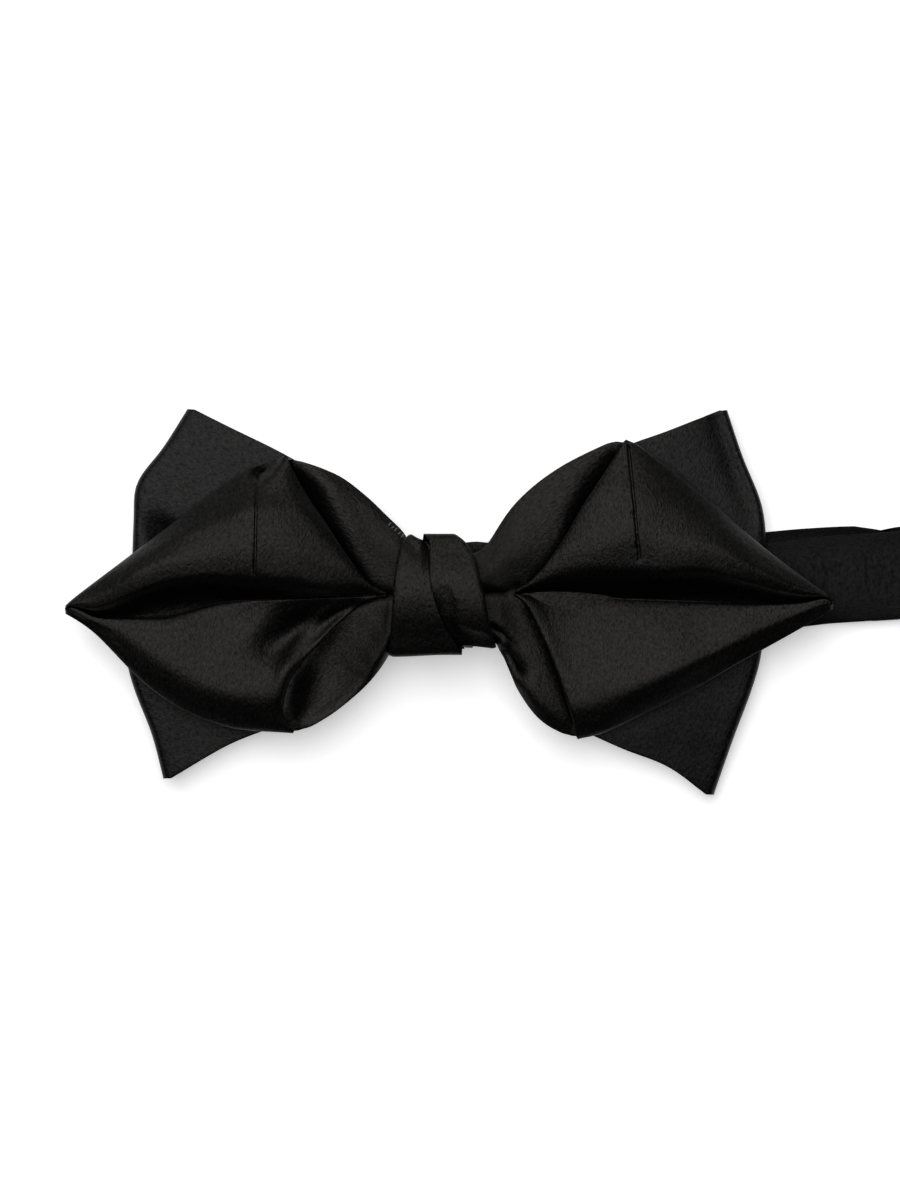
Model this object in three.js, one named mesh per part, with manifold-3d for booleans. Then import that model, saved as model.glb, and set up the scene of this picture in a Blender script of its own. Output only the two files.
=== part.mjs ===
// A pre-tied diamond point bow tie in black satin, lying on its back with its neck band closed.
//
// Millimetres. +X runs along the bow, +Y up the bow, and +Z out of its front, away from the surface it
// lies on. The origin is on the underside of the neck band, below the middle of the knot.
//
// Every cloth piece is a real folded layer: a middle surface given by a few edges and a height table,
// thickened to the cloth's thickness. In a height table each row is a section, and each named column is
// a fold line that runs through all the sections.

import * as THREE from "three";
import { mergeVertices } from "three/addons/utils/BufferGeometryUtils.js";
import Module from "manifold-3d";

const wasm = await Module();
wasm.setup();

// Driving dimensions
const CLOTH = 1.0; // satin folded over its interlining
const KNOT_CLOTH = 1.2;
const BAND_WIDTH = 15;
const BAND_GATHERED = 13.4; // the band's width where the knot squeezes it
const NECK_BEND_HEIGHT = 16; // height of the open bend at the far end of the closed neck band
const NECK_BEND_X = 160;
const CLASP_X = 112;

// Heights of the middle surfaces in the stack, from the surface that the tie lies on
const LEVEL = {
  lowerRun: 0.5,
  upperRun: 1.85,
  upperRunInKnot: 3.8,
  rearLayer: 3.25,
  rearLayerInKnot: 5.15,
  frontLayer: 5.25,
  frontLayerInKnot: 6.35,
};

const material = (color, roughness, metalness = 0) =>
  new THREE.MeshStandardMaterial({ color, roughness, metalness });
const satin = material(0x141414, 0.42);
const bandSatin = material(0x161515, 0.5);
const claspMetal = material(0x1c1c1e, 0.35, 0.8);

// A smooth value between the entries of a table, with no overshoot: a monotone cubic through (at[i],
// value[i]).
function smooth(at, value, t) {
  const last = at.length - 1;
  if (t <= at[0]) return value[0];
  if (t >= at[last]) return value[last];
  let i = 0;
  while (t > at[i + 1]) i++;
  const slope = (k) => (value[k + 1] - value[k]) / (at[k + 1] - at[k]);
  const tangent = (k) => {
    if (k === 0) return slope(0);
    if (k === last) return slope(last - 1);
    const before = slope(k - 1);
    const after = slope(k);
    return before * after <= 0 ? 0 : (2 * before * after) / (before + after);
  };
  const step = at[i + 1] - at[i];
  const s = (t - at[i]) / step;
  const rest = 1 - s;
  return (
    value[i] * (1 + 2 * s) * rest * rest +
    tangent(i) * step * s * rest * rest +
    value[i + 1] * s * s * (3 - 2 * s) -
    tangent(i + 1) * step * s * s * rest
  );
}

// A height function from a table: rows along the piece, and the named columns at the given places
// across it.
function heights(rows, across) {
  const names = Object.keys(across);
  const places = names.map((name) => across[name]);
  const along = rows.map((row) => row.along);
  const columns = names.map((name) => rows.map((row) => row[name]));
  return (u, v) => smooth(places, columns.map((column) => smooth(along, column, u)), v);
}

// An edge in plan: a smooth curve through a table of x and y.
function edge(rows) {
  const points = rows.map(([x, y]) => new THREE.Vector3(x, y, 0));
  const curve = new THREE.CatmullRomCurve3(points, false, "centripetal");
  return (t) => curve.getPointAt(THREE.MathUtils.clamp(t, 0, 1));
}

// The plan of a sheet between four edges: low and high run along it, start and end across it.
function patch({ low, high, start, end }) {
  start ??= (v) => low(0).lerp(high(0), v);
  end ??= (v) => low(1).lerp(high(1), v);
  return (u, v) => {
    const ruled = low(u).lerp(high(u), v);
    const crossed = start(v).lerp(end(v), u);
    const corners = low(0).lerp(high(0), v).lerp(low(1).lerp(high(1), v), u);
    return ruled.add(crossed).sub(corners);
  };
}

// Steps from 0 to 1. Crowding brings the steps closer together at both ends, where the folds are tight.
function steps(count, crowding = 0) {
  return Array.from({ length: count + 1 }, (_, i) => {
    const t = i / count;
    return t - (crowding * Math.sin(2 * Math.PI * t)) / (2 * Math.PI);
  });
}

function solid(positions, triangles) {
  const geometry = new THREE.BufferGeometry();
  geometry.setAttribute("position", new THREE.Float32BufferAttribute(positions, 3));
  geometry.setIndex(triangles);
  return fromGeometry(geometry);
}

function fromGeometry(geometry) {
  geometry.deleteAttribute("normal");
  geometry.deleteAttribute("uv");
  const merged = mergeVertices(geometry, 1e-4);
  return new wasm.Manifold(
    new wasm.Mesh({
      numProp: 3,
      vertProperties: merged.attributes.position.array,
      triVerts: new Uint32Array(merged.index.array),
    }),
  );
}

// One layer of cloth as a closed solid: the middle surface is sampled on a grid and offset to both
// sides. A closed layer joins its last section to its first, as a loop of ribbon does.
function layer(surface, us, vs, { thickness = CLOTH, closed = false } = {}) {
  const middle = us.map((u) => vs.map((v) => surface(u, v)));
  const nu = us.length;
  const nv = vs.length;
  const neighbour = (i) => (closed ? (i + nu) % nu : THREE.MathUtils.clamp(i, 0, nu - 1));
  const positions = [];
  for (const side of [1, -1]) {
    for (let i = 0; i < nu; i++) {
      for (let j = 0; j < nv; j++) {
        const alongU = middle[neighbour(i + 1)][j].clone().sub(middle[neighbour(i - 1)][j]);
        const alongV = middle[i][Math.min(j + 1, nv - 1)].clone().sub(middle[i][Math.max(j - 1, 0)]);
        const offset = alongU.cross(alongV).setLength((side * thickness) / 2);
        positions.push(...middle[i][j].clone().add(offset).toArray());
      }
    }
  }
  const front = (i, j) => (i % nu) * nv + j;
  const back = (i, j) => nu * nv + front(i, j);
  const triangles = [];
  const quad = (a, b, c, d) => triangles.push(a, b, c, a, c, d);
  for (let i = 0; i < (closed ? nu : nu - 1); i++) {
    for (let j = 0; j < nv - 1; j++) {
      quad(front(i, j), front(i + 1, j), front(i + 1, j + 1), front(i, j + 1));
      quad(back(i, j), back(i, j + 1), back(i + 1, j + 1), back(i + 1, j));
    }
    quad(front(i, 0), back(i, 0), back(i + 1, 0), front(i + 1, 0));
    quad(front(i, nv - 1), front(i + 1, nv - 1), back(i + 1, nv - 1), back(i, nv - 1));
  }
  if (!closed) {
    for (let j = 0; j < nv - 1; j++) {
      quad(front(0, j), front(0, j + 1), back(0, j + 1), back(0, j));
      quad(front(nu - 1, j), back(nu - 1, j), back(nu - 1, j + 1), front(nu - 1, j + 1));
    }
  }
  return solid(positions, triangles);
}

// The one large body of joined layers, without the crumbs and bubbles that can be left where two layers
// meet.
function outerBody(made) {
  return made.decompose().sort((a, b) => b.volume() - a.volume())[0];
}

function piece(name, made, look) {
  const { vertProperties, triVerts } = made.getMesh();
  const geometry = new THREE.BufferGeometry();
  geometry.setAttribute("position", new THREE.BufferAttribute(new Float32Array(vertProperties), 3));
  geometry.setIndex(new THREE.BufferAttribute(new Uint32Array(triVerts), 1));
  geometry.computeVertexNormals();
  const mesh = new THREE.Mesh(geometry, look);
  mesh.name = name;
  return mesh;
}

// The front bow's edges in plan, from the knot outwards. bandTop and bandBottom are the strip's own
// edges as it flares out of the knot, up to the peak and down to the foot. From there foldTop and
// foldBottom run to the point, where the strip turns over into the two flaps. innerTop and innerBottom
// are the flaps' free edges, back to the knot.
const RIGHT_WING = {
  bandTop: [
    [0, 7.0], [4.6, 7.1], [7.4, 8.4], [9.0, 11.2], [13.6, 17.0], [19.4, 21.4], [26.0, 25.0],
    [29.6, 25.8],
  ],
  foldTop: [[29.6, 25.8], [34.4, 23.6], [42.5, 17.2], [51.8, 9.7], [60.0, 3.0], [63.4, -0.1]],
  innerTop: [[9.5, 0.6], [13.2, 2.2], [16.8, 6.2], [21.9, 14.0], [27.4, 22.2], [29.6, 25.8]],
  valley: [[9.5, 0.4], [30, 0], [50, -0.4], [63.4, -1.4]],
  innerBottom: [[9.5, 0.2], [13.3, -2.0], [16.6, -8.4], [20.2, -15.2], [21.7, -20.0], [21.6, -23.3]],
  foldBottom: [[21.6, -23.3], [28.8, -21.2], [38.0, -16.3], [47.2, -11.7], [56.5, -6.6], [63.2, -2.4]],
  bandBottom: [
    [0, -7.0], [8.8, -6.8], [9.7, -8.8], [10.8, -12.0], [12.8, -16.8], [16.2, -20.8],
    [21.6, -23.3],
  ],
};
const LEFT_WING = {
  bandTop: [[0, 7.0], [-6.2, 7.2], [-7.4, 9.0], [-9.2, 12.6], [-14.0, 18.0], [-20.0, 21.0], [-26.6, 23.1]],
  foldTop: [[-26.6, 23.1], [-32.3, 21.6], [-40.6, 16.1], [-51.4, 6.7], [-57.6, 2.2], [-62.6, -1.0]],
  innerTop: [[-10.5, 0.6], [-13.3, 2.6], [-15.2, 5.1], [-20.1, 13.0], [-24.8, 20.8], [-26.6, 23.1]],
  valley: [[-10.5, 0.4], [-24, -0.4], [-40.8, -1.5], [-54, -3.0], [-62.2, -1.9]],
  innerBottom: [[-10.5, 0.2], [-16.7, -2.4], [-21.8, -7.9], [-26.0, -13.8], [-27.2, -18.5], [-25.4, -22.2]],
  foldBottom: [[-25.4, -22.2], [-36.5, -20.7], [-44.7, -16.3], [-52.5, -10.1], [-62.3, -2.9]],
  bandBottom: [
    [0, -7.0], [-9.1, -6.9], [-10.2, -9.0], [-12.6, -12.4], [-17.4, -17.2], [-22.0, -20.8],
    [-25.4, -22.2],
  ],
};

// The upper flap is high along its crest beside the valley, and falls gently to the fold. The lower
// flap climbs from the valley to a ridge near the fold. along is 0 at the flap's free edge and 1 at the
// point.
const UPPER_ACROSS = { valley: 0, foot: 0.09, crest: 0.22, brow: 0.55, slope: 0.85, fold: 1 };
const UPPER_FLAP = [
  { along: 0.0, valley: 8.4, foot: 8.8, crest: 9.8, brow: 10.6, slope: 10.0, fold: 8.4 },
  { along: 0.15, valley: 7.6, foot: 9.6, crest: 11.6, brow: 11.8, slope: 10.6, fold: 8.0 },
  { along: 0.35, valley: 7.3, foot: 10.3, crest: 12.8, brow: 12.4, slope: 10.8, fold: 8.0 },
  { along: 0.6, valley: 7.3, foot: 10.0, crest: 12.2, brow: 11.8, slope: 10.2, fold: 8.0 },
  { along: 0.8, valley: 7.4, foot: 9.2, crest: 10.8, brow: 10.6, slope: 9.6, fold: 8.0 },
  { along: 1.0, valley: 8.0, foot: 8.3, crest: 8.6, brow: 8.6, slope: 8.5, fold: 8.2 },
];
const LOWER_ACROSS = { valley: 0, rise: 0.25, face: 0.5, ridge: 0.74, shoulder: 0.9, fold: 1 };
const LOWER_FLAP = [
  { along: 0.0, valley: 8.4, rise: 8.8, face: 9.3, ridge: 9.8, shoulder: 9.2, fold: 7.9 },
  { along: 0.15, valley: 7.5, rise: 8.6, face: 10.0, ridge: 11.2, shoulder: 10.6, fold: 7.8 },
  { along: 0.35, valley: 7.3, rise: 8.6, face: 10.2, ridge: 11.8, shoulder: 11.0, fold: 7.8 },
  { along: 0.6, valley: 7.3, rise: 8.5, face: 10.0, ridge: 11.2, shoulder: 10.6, fold: 7.8 },
  { along: 0.8, valley: 7.4, rise: 8.3, face: 9.4, ridge: 10.2, shoulder: 9.8, fold: 7.8 },
  { along: 1.0, valley: 8.0, rise: 8.2, face: 8.4, ridge: 8.5, shoulder: 8.4, fold: 8.1 },
];

// The strip behind the flaps. along is 0 at the knot, 1 at the peak and the foot, and 2 at the point.
const STRIP_ACROSS = { bottom: 0, lowMound: 0.27, crease: 0.5, highMound: 0.73, top: 1 };
const STRIP = [
  { along: 0.0, bottom: 8.4, lowMound: 10.8, crease: 7.9, highMound: 10.8, top: 8.4 },
  { along: 0.2, bottom: 8.3, lowMound: 10.8, crease: 7.9, highMound: 10.8, top: 8.3 },
  { along: 0.45, bottom: 8.0, lowMound: 9.6, crease: 7.85, highMound: 9.6, top: 8.0 },
  { along: 0.75, bottom: 7.9, lowMound: 8.0, crease: 7.4, highMound: 8.1, top: 8.0 },
  { along: 1.0, bottom: 7.9, lowMound: 6.9, crease: 6.9, highMound: 7.0, top: 8.2 },
  { along: 1.2, bottom: 7.9, lowMound: 6.7, crease: 6.7, highMound: 6.7, top: 8.2 },
  { along: 1.8, bottom: 7.9, lowMound: 6.7, crease: 6.7, highMound: 6.7, top: 8.2 },
  { along: 2.0, bottom: 8.1, lowMound: 8.1, crease: 8.1, highMound: 8.1, top: 8.3 },
];

// Joins the strip's two stretches, so that one section runs from the foot to the peak.
function stripEdge(band, fold) {
  const near = edge(band);
  const far = edge(fold);
  return (t) => (t <= 1 ? near(t) : far(t - 1));
}

// Both flaps of a wing, from the valley out to the folds. Where a section has to run the other way
// round for the flap to face the front, turned is true.
function flaps(wing, side) {
  const valley = edge(wing.valley);
  const flap = (fold, inner, rows, across, turned) => {
    const plan = patch({ low: valley, high: edge(fold), start: edge(inner) });
    const height = heights(rows, across);
    const surface = (u, v) => plan(u, v).setZ(height(u, v));
    const facing = turned ? (u, v) => surface(u, 1 - v) : surface;
    return layer(facing, steps(16), steps(9, 0.5));
  };
  const upper = flap(wing.foldTop, wing.innerTop, UPPER_FLAP, UPPER_ACROSS, side === "left");
  const lower = flap(wing.foldBottom, wing.innerBottom, LOWER_FLAP, LOWER_ACROSS, side === "right");
  return upper.add(lower);
}

// The strip runs through the knot from one point to the other. Positions from -2 to 2 are left point to
// right point.
function frontStrip() {
  const sides = [LEFT_WING, RIGHT_WING].map((wing) => ({
    low: stripEdge(wing.bandBottom, wing.foldBottom),
    high: stripEdge(wing.bandTop, wing.foldTop),
  }));
  const height = heights(STRIP, STRIP_ACROSS);
  const surface = (u, v) => {
    const { low, high } = sides[u < 0 ? 0 : 1];
    return low(Math.abs(u)).lerp(high(Math.abs(u)), v).setZ(height(Math.abs(u), v));
  };
  const outward = [0, 0.13, 0.22, 0.34, 0.46, 0.6, 0.75, 0.9, 1, 1.15, 1.35, 1.55, 1.75, 1.985];
  const inward = outward.slice().reverse().map((u) => -u);
  inward[inward.length - 1] = -1e-9;
  return layer(surface, [...inward, ...outward], steps(10, 0.3));
}

function frontBow() {
  return outerBody(frontStrip().add(flaps(LEFT_WING, "left")).add(flaps(RIGHT_WING, "right")));
}

// The back bow is a loop of ribbon pressed flat: a front layer and a rear layer that turn into each
// other at the two ends. The side edges flare from the waist to the corners, and the ends bulge between
// the corners.
const BACK_RIGHT = {
  sections: [
    { x: 0, top: 7.2, bottom: -7.2 },
    { x: 5.4, top: 7.5, bottom: -7.1 },
    { x: 8.6, top: 9.9, bottom: -7.2 },
    { x: 10.4, top: 11.4, bottom: -10.0 },
    { x: 15.2, top: 15.6, bottom: -16.2 },
    { x: 20.7, top: 19.7, bottom: -20.9 },
    { x: 29, top: 24.6, bottom: -25.0 },
    { x: 37, top: 27.6, bottom: -28.2 },
  ],
  end: [
    { y: -31.8, x: 43.0 },
    { y: -23.8, x: 46.0 },
    { y: -16.3, x: 48.6 },
    { y: -10.4, x: 50.8 },
    { y: 0, x: 51.6 },
    { y: 10.4, x: 51.6 },
    { y: 15.0, x: 50.8 },
    { y: 24.6, x: 47.6 },
    { y: 30.3, x: 45.6 },
  ],
};
const BACK_LEFT = {
  sections: [
    { x: 0, top: 7.2, bottom: -7.2 },
    { x: -6.2, top: 7.3, bottom: -7.2 },
    { x: -8.8, top: 11.2, bottom: -7.3 },
    { x: -10.2, top: 12.9, bottom: -9.0 },
    { x: -14.6, top: 17.0, bottom: -13.3 },
    { x: -20.4, top: 20.2, bottom: -18.0 },
    { x: -28, top: 24.0, bottom: -21.2 },
    { x: -35.6, top: 27.8, bottom: -23.8 },
  ],
  end: [
    { y: -28.9, x: -45.2 },
    { y: -23.0, x: -47.9 },
    { y: -13.6, x: -51.0 },
    { y: -9.0, x: -51.6 },
    { y: 2.0, x: -50.8 },
    { y: 17.0, x: -50.2 },
    { y: 20.0, x: -49.2 },
    { y: 25.0, x: -45.4 },
    { y: 30.2, x: -41.6 },
  ],
};
const LAYER_GAP = LEVEL.frontLayer - LEVEL.rearLayer; // between the loop's two middle surfaces at its ends

// How far the wings have come down from the height they have in the knot, by the share of the way to
// their end.
const SETTLE = { at: [0, 0.16, 0.4, 0.6, 1], share: [0, 0, 0.3, 1, 1] };
const CORNER_DROOP = { left: 2.6, right: 1.2 };

function backBow() {
  const plans = [BACK_LEFT, BACK_RIGHT].map(({ sections, end }) => {
    const endPoints = end.map((row) => [row.x, row.y]);
    const bottom = sections.map((row) => [row.x, row.bottom]).concat([endPoints[0]]);
    const top = sections.map((row) => [row.x, row.top]).concat([endPoints[endPoints.length - 1]]);
    return patch({ low: edge(bottom), high: edge(top), end: edge(endPoints) });
  });
  const droops = [CORNER_DROOP.left, CORNER_DROOP.right];
  const surface = (u, v) => {
    // u runs once round the loop: 0 to 1 the front layer from left to right, 2 to 3 the rear layer back
    // again.
    const turning = (u > 1 && u < 2) || u > 3;
    const inRear = u >= 2;
    const place = u <= 1 ? 2 * u - 1 : u < 2 ? 1 : u <= 3 ? 5 - 2 * u : -1;
    const side = place < 0 ? 0 : 1;
    const out = Math.abs(place);
    const point = plans[side](out, v);
    const settled = smooth(SETTLE.at, SETTLE.share, out);
    const rear = THREE.MathUtils.lerp(LEVEL.rearLayerInKnot, LEVEL.rearLayer, settled);
    const front = THREE.MathUtils.lerp(LEVEL.frontLayerInKnot, LEVEL.frontLayer, settled);
    const corner = Math.pow(Math.abs(2 * v - 1), 3) * Math.pow(out, 4);
    const droop = droops[side] * corner;
    if (!turning) return point.setZ((inRear ? rear : front) - droop);
    const angle = Math.PI * (u > 3 ? 3.5 - u : 1.5 - u);
    const outward = (side === 0 ? -1 : 1) * Math.cos(angle);
    const lift = (u > 3 ? -1 : 1) * Math.sin(angle);
    const radius = LAYER_GAP / 2;
    const height = (rear + front) / 2 + lift * radius - droop;
    return new THREE.Vector3(point.x + outward * radius, point.y, height);
  };
  const run = steps(26);
  const turn = [0.25, 0.5, 0.75];
  const us = [...run, ...turn.map((t) => 1 + t), ...run.map((t) => 2 + t), ...turn.map((t) => 3 + t)];
  return layer(surface, us, steps(10, 0.35), { closed: true });
}

// The knot, a wrap round the waist. Its outline is given by height on the bow: left and right edge, and
// the slanting pleat between them, where the left part of the cloth lies over the right part.
const KNOT = {
  halfHeight: 9.4,
  centreY: 0.3,
  middle: 7.4,
  front: 6.8,
  rear: 5.5,
  frontSquareness: 2.7,
  rearSquareness: 8,
};
const KNOT_EDGES = [
  { y: -10, left: -9.2, pleat: 2.5, right: 8.3 },
  { y: -8.5, left: -9.1, pleat: 2.0, right: 8.2 },
  { y: -6, left: -9.0, pleat: 0.4, right: 7.7 },
  { y: -3, left: -8.8, pleat: -0.6, right: 7.2 },
  { y: 0, left: -8.6, pleat: -1.5, right: 6.7 },
  { y: 3, left: -8.4, pleat: -2.2, right: 6.0 },
  { y: 6, left: -8.1, pleat: -2.5, right: 5.2 },
  { y: 8.5, left: -7.2, pleat: -2.6, right: 3.9 },
  { y: 10, left: -6.2, pleat: -3.3, right: 2.9 },
];
const PLEAT = { underlap: 2.2, step: 1.0, rearStep: 0.4, fadesAtTop: 5, fadesAtBottom: 14 };

function knot() {
  const ys = KNOT_EDGES.map((row) => row.y);
  const edgeAt = (name, y) => smooth(ys, KNOT_EDGES.map((row) => row[name]), y);
  const wrapped = (x, angle, inset) => {
    const up = Math.cos(angle);
    const out = Math.sin(angle);
    const squareness = out > 0 ? KNOT.frontSquareness : KNOT.rearSquareness;
    const depth = out > 0 ? KNOT.front : KNOT.rear;
    const rounded = (part) => Math.sign(part) * Math.pow(Math.abs(part), 2 / squareness);
    return new THREE.Vector3(
      x,
      KNOT.centreY + (KNOT.halfHeight - inset) * rounded(up),
      KNOT.middle + (depth - inset) * rounded(out),
    );
  };
  const heightAt = (angle) => wrapped(0, angle, 0).y;
  const overPart = (turn, v) => {
    const angle = -2 * Math.PI * turn;
    const y = heightAt(angle);
    return wrapped(THREE.MathUtils.lerp(edgeAt("left", y), edgeAt("pleat", y), v), angle, 0);
  };
  const underPart = (turn, v) => {
    const angle = -2 * Math.PI * turn;
    const y = heightAt(angle);
    const pleat = edgeAt("pleat", y);
    const x = THREE.MathUtils.lerp(pleat - PLEAT.underlap, edgeAt("right", y), v);
    const toBottom = THREE.MathUtils.smoothstep(-y, -4, 4);
    const fadesOver = THREE.MathUtils.lerp(PLEAT.fadesAtTop, PLEAT.fadesAtBottom, toBottom);
    const away = THREE.MathUtils.clamp((x - pleat) / fadesOver, 0, 1);
    const toFront = THREE.MathUtils.smoothstep(Math.sin(angle), -0.6, 0.2);
    const step = THREE.MathUtils.lerp(PLEAT.rearStep, PLEAT.step, toFront);
    return wrapped(x, angle, step * (1 - THREE.MathUtils.smoothstep(away, 0, 1)));
  };
  const turns = steps(36).slice(0, -1);
  const wrap = { thickness: KNOT_CLOTH, closed: true };
  return outerBody(layer(overPart, turns, steps(4), wrap).add(layer(underPart, turns, steps(5), wrap)));
}

// The neck band, one ribbon. Its rows are places on its way round: from the clasp left through the
// knot, a tight turn behind the left wing, and right again on the surface under everything, to the open
// bend at the neck's side.
const BAR_WRAP = 1.6; // from the middle of a clasp bar to the middle of the cloth round it
const CLASP_LEVEL = 3.5;
const BAR_OFFSET = 5.0; // from the clasp's middle to each of its two outer bars
const TAIL = 13; // turned-back end that is sewn down behind the clasp
const REAR_TURN_X = -18; // where the band turns back behind the left wing
const UPPER_RUN = [
  { x: REAR_TURN_X, y: -0.2, z: 2.5, width: BAND_GATHERED },
  { x: -9, y: -0.2, z: LEVEL.upperRunInKnot, width: BAND_GATHERED },
  { x: 10, y: -0.2, z: LEVEL.upperRunInKnot, width: BAND_GATHERED },
  { x: 22, y: 0.0, z: 2.2, width: BAND_WIDTH },
  { x: 36, y: 0.6, z: LEVEL.upperRun, width: BAND_WIDTH },
  { x: 53, y: 1.9, z: LEVEL.upperRun, width: BAND_WIDTH },
  { x: 76, y: 4.0, z: LEVEL.upperRun, width: BAND_WIDTH },
  { x: 86, y: 4.9, z: 2.4, width: BAND_WIDTH },
  { x: 97, y: 5.9, z: 4.1, width: BAND_WIDTH },
  { x: CLASP_X - BAR_OFFSET, y: 6.8, z: CLASP_LEVEL + BAR_WRAP, width: BAND_WIDTH },
];
const LOWER_RUN = [
  { x: REAR_TURN_X, y: -0.2 },
  { x: 10, y: 1.0 },
  { x: 40, y: 2.5 },
  { x: 62, y: 3.9 },
  { x: 84, y: 5.1 },
  { x: 120, y: 7.9 },
  { x: NECK_BEND_X, y: 11.4 },
];
const FAR_RUN = [
  { x: CLASP_X + BAR_OFFSET, y: 7.7, z: CLASP_LEVEL + BAR_WRAP },
  { x: 128, y: 8.7, z: 6.2 },
  { x: 144, y: 10.0, z: 10.6 },
  { x: NECK_BEND_X, y: 11.4, z: LEVEL.lowerRun + NECK_BEND_HEIGHT },
];

const CLASP_LEAN = Math.atan2(FAR_RUN[0].y - UPPER_RUN[UPPER_RUN.length - 1].y, 2 * BAR_OFFSET);

// Points and widths along the ribbon, ready to be made a layer.
function bandStations() {
  const at = (rows, name, x) => smooth(rows.map((row) => row.x), rows.map((row) => row[name]), x);
  const leaning = (rows, x) => Math.atan2(at(rows, "y", x + 1) - at(rows, "y", x - 1), 2);
  const stations = [];
  const add = (x, y, z, lean, width = BAND_WIDTH) => stations.push({ x, y, z, lean, width });
  const turn = (x, y, z, lean, radius, from, to, count) => {
    for (let i = 0; i <= count; i++) {
      const angle = THREE.MathUtils.lerp(from, to, i / count);
      const out = radius * Math.cos(angle);
      add(x + out * Math.cos(lean), y + out * Math.sin(lean), z + radius * Math.sin(angle), lean);
    }
  };
  const half = Math.PI / 2;
  const nearBar = UPPER_RUN[UPPER_RUN.length - 1];
  const farBar = FAR_RUN[0];

  // The tail under the band, and the turn round the clasp's near bar
  for (const back of [TAIL, (2 * TAIL) / 3, TAIL / 3]) {
    const x = nearBar.x - back;
    add(x, at(UPPER_RUN, "y", x), CLASP_LEVEL - BAR_WRAP, CLASP_LEAN);
  }
  turn(nearBar.x, nearBar.y, CLASP_LEVEL, CLASP_LEAN, BAR_WRAP, -half, half, 6);
  for (let x = nearBar.x - 3; x > REAR_TURN_X + 1; x -= 4) {
    add(x, at(UPPER_RUN, "y", x), at(UPPER_RUN, "z", x), leaning(UPPER_RUN, x), at(UPPER_RUN, "width", x));
  }
  const rearRadius = (UPPER_RUN[0].z - LEVEL.lowerRun) / 2;
  const rearY = LOWER_RUN[0].y;
  turn(REAR_TURN_X, rearY, LEVEL.lowerRun + rearRadius, 0, rearRadius, half, 3 * half, 6);
  for (let x = REAR_TURN_X + 5; x < NECK_BEND_X - 2; x += 6) {
    add(x, at(LOWER_RUN, "y", x), LEVEL.lowerRun, leaning(LOWER_RUN, x));
  }
  const bend = NECK_BEND_HEIGHT / 2;
  const bendY = LOWER_RUN[LOWER_RUN.length - 1].y;
  turn(NECK_BEND_X, bendY, LEVEL.lowerRun + bend, CLASP_LEAN, bend, -half, half, 10);
  for (let x = NECK_BEND_X - 4; x > farBar.x + 2; x -= 4) {
    add(x, at(FAR_RUN, "y", x), at(FAR_RUN, "z", x), CLASP_LEAN);
  }
  turn(farBar.x, farBar.y, CLASP_LEVEL, CLASP_LEAN, BAR_WRAP, half, 3 * half, 6);
  for (const back of [TAIL / 3, (2 * TAIL) / 3, TAIL]) {
    const x = farBar.x + back;
    add(x, at(FAR_RUN, "y", x), CLASP_LEVEL - BAR_WRAP, CLASP_LEAN);
  }
  return stations;
}

function neckBand() {
  const stations = bandStations();
  const surface = (i, v) => {
    const { x, y, z, lean, width } = stations[i];
    const across = (v - 0.5) * width;
    return new THREE.Vector3(x - across * Math.sin(lean), y + across * Math.cos(lean), z);
  };
  return layer(surface, stations.map((_, i) => i), [0, 1]);
}

// The clasp, a slide of one plate with a slot for each end of the band.
const CLASP = { bar: 1.1, slot: 2.6, thickness: 1.1, sideRail: 1.7, corner: 1.0 };

function clasp() {
  const width = BAND_WIDTH + 1 + 2 * CLASP.sideRail;
  const length = 2 * BAR_OFFSET + CLASP.bar;
  const rectangle = (path, x, y, halfX, halfY, corner) => {
    path.moveTo(x - halfX + corner, y - halfY);
    path.lineTo(x + halfX - corner, y - halfY);
    path.absarc(x + halfX - corner, y - halfY + corner, corner, -Math.PI / 2, 0);
    path.absarc(x + halfX - corner, y + halfY - corner, corner, 0, Math.PI / 2);
    path.absarc(x - halfX + corner, y + halfY - corner, corner, Math.PI / 2, Math.PI);
    path.absarc(x - halfX + corner, y - halfY + corner, corner, Math.PI, 1.5 * Math.PI);
    return path;
  };
  const plate = rectangle(new THREE.Shape(), 0, 0, length / 2, width / 2, CLASP.corner);
  const slotX = BAR_OFFSET - CLASP.bar / 2 - CLASP.slot / 2;
  const slotHalf = width / 2 - CLASP.sideRail;
  for (const x of [-slotX, slotX]) {
    plate.holes.push(rectangle(new THREE.Path(), x, 0, CLASP.slot / 2, slotHalf, CLASP.corner / 2));
  }
  const geometry = new THREE.ExtrudeGeometry(plate, {
    depth: CLASP.thickness,
    bevelEnabled: false,
    curveSegments: 4,
  });
  return fromGeometry(geometry);
}

const bow = new THREE.Group();
bow.add(piece("front_bow", frontBow(), satin));
bow.add(piece("back_bow", backBow(), satin));
bow.add(piece("knot", knot(), satin));
bow.add(piece("neck_band", neckBand(), bandSatin));

const slide = piece("band_clasp", clasp(), claspMetal);
const nearBar = UPPER_RUN[UPPER_RUN.length - 1];
slide.position.set(CLASP_X, (nearBar.y + FAR_RUN[0].y) / 2, CLASP_LEVEL - CLASP.thickness / 2);
slide.rotation.z = CLASP_LEAN;
bow.add(slide);

export default bow;
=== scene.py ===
# %% [markdown]
# A diamond point bow tie in black satin, ready tied on a neck band, lying on its back on a white table.
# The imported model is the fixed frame: its solids say where each piece goes. The tie is all cloth, so every cloth
# solid is replaced by a finer sheet in the same place, and only the hidden clasp keeps its own mesh.

# %% The frame
import bisect
import math

import bmesh
import bpy
from mathutils import Matrix, Vector


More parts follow.
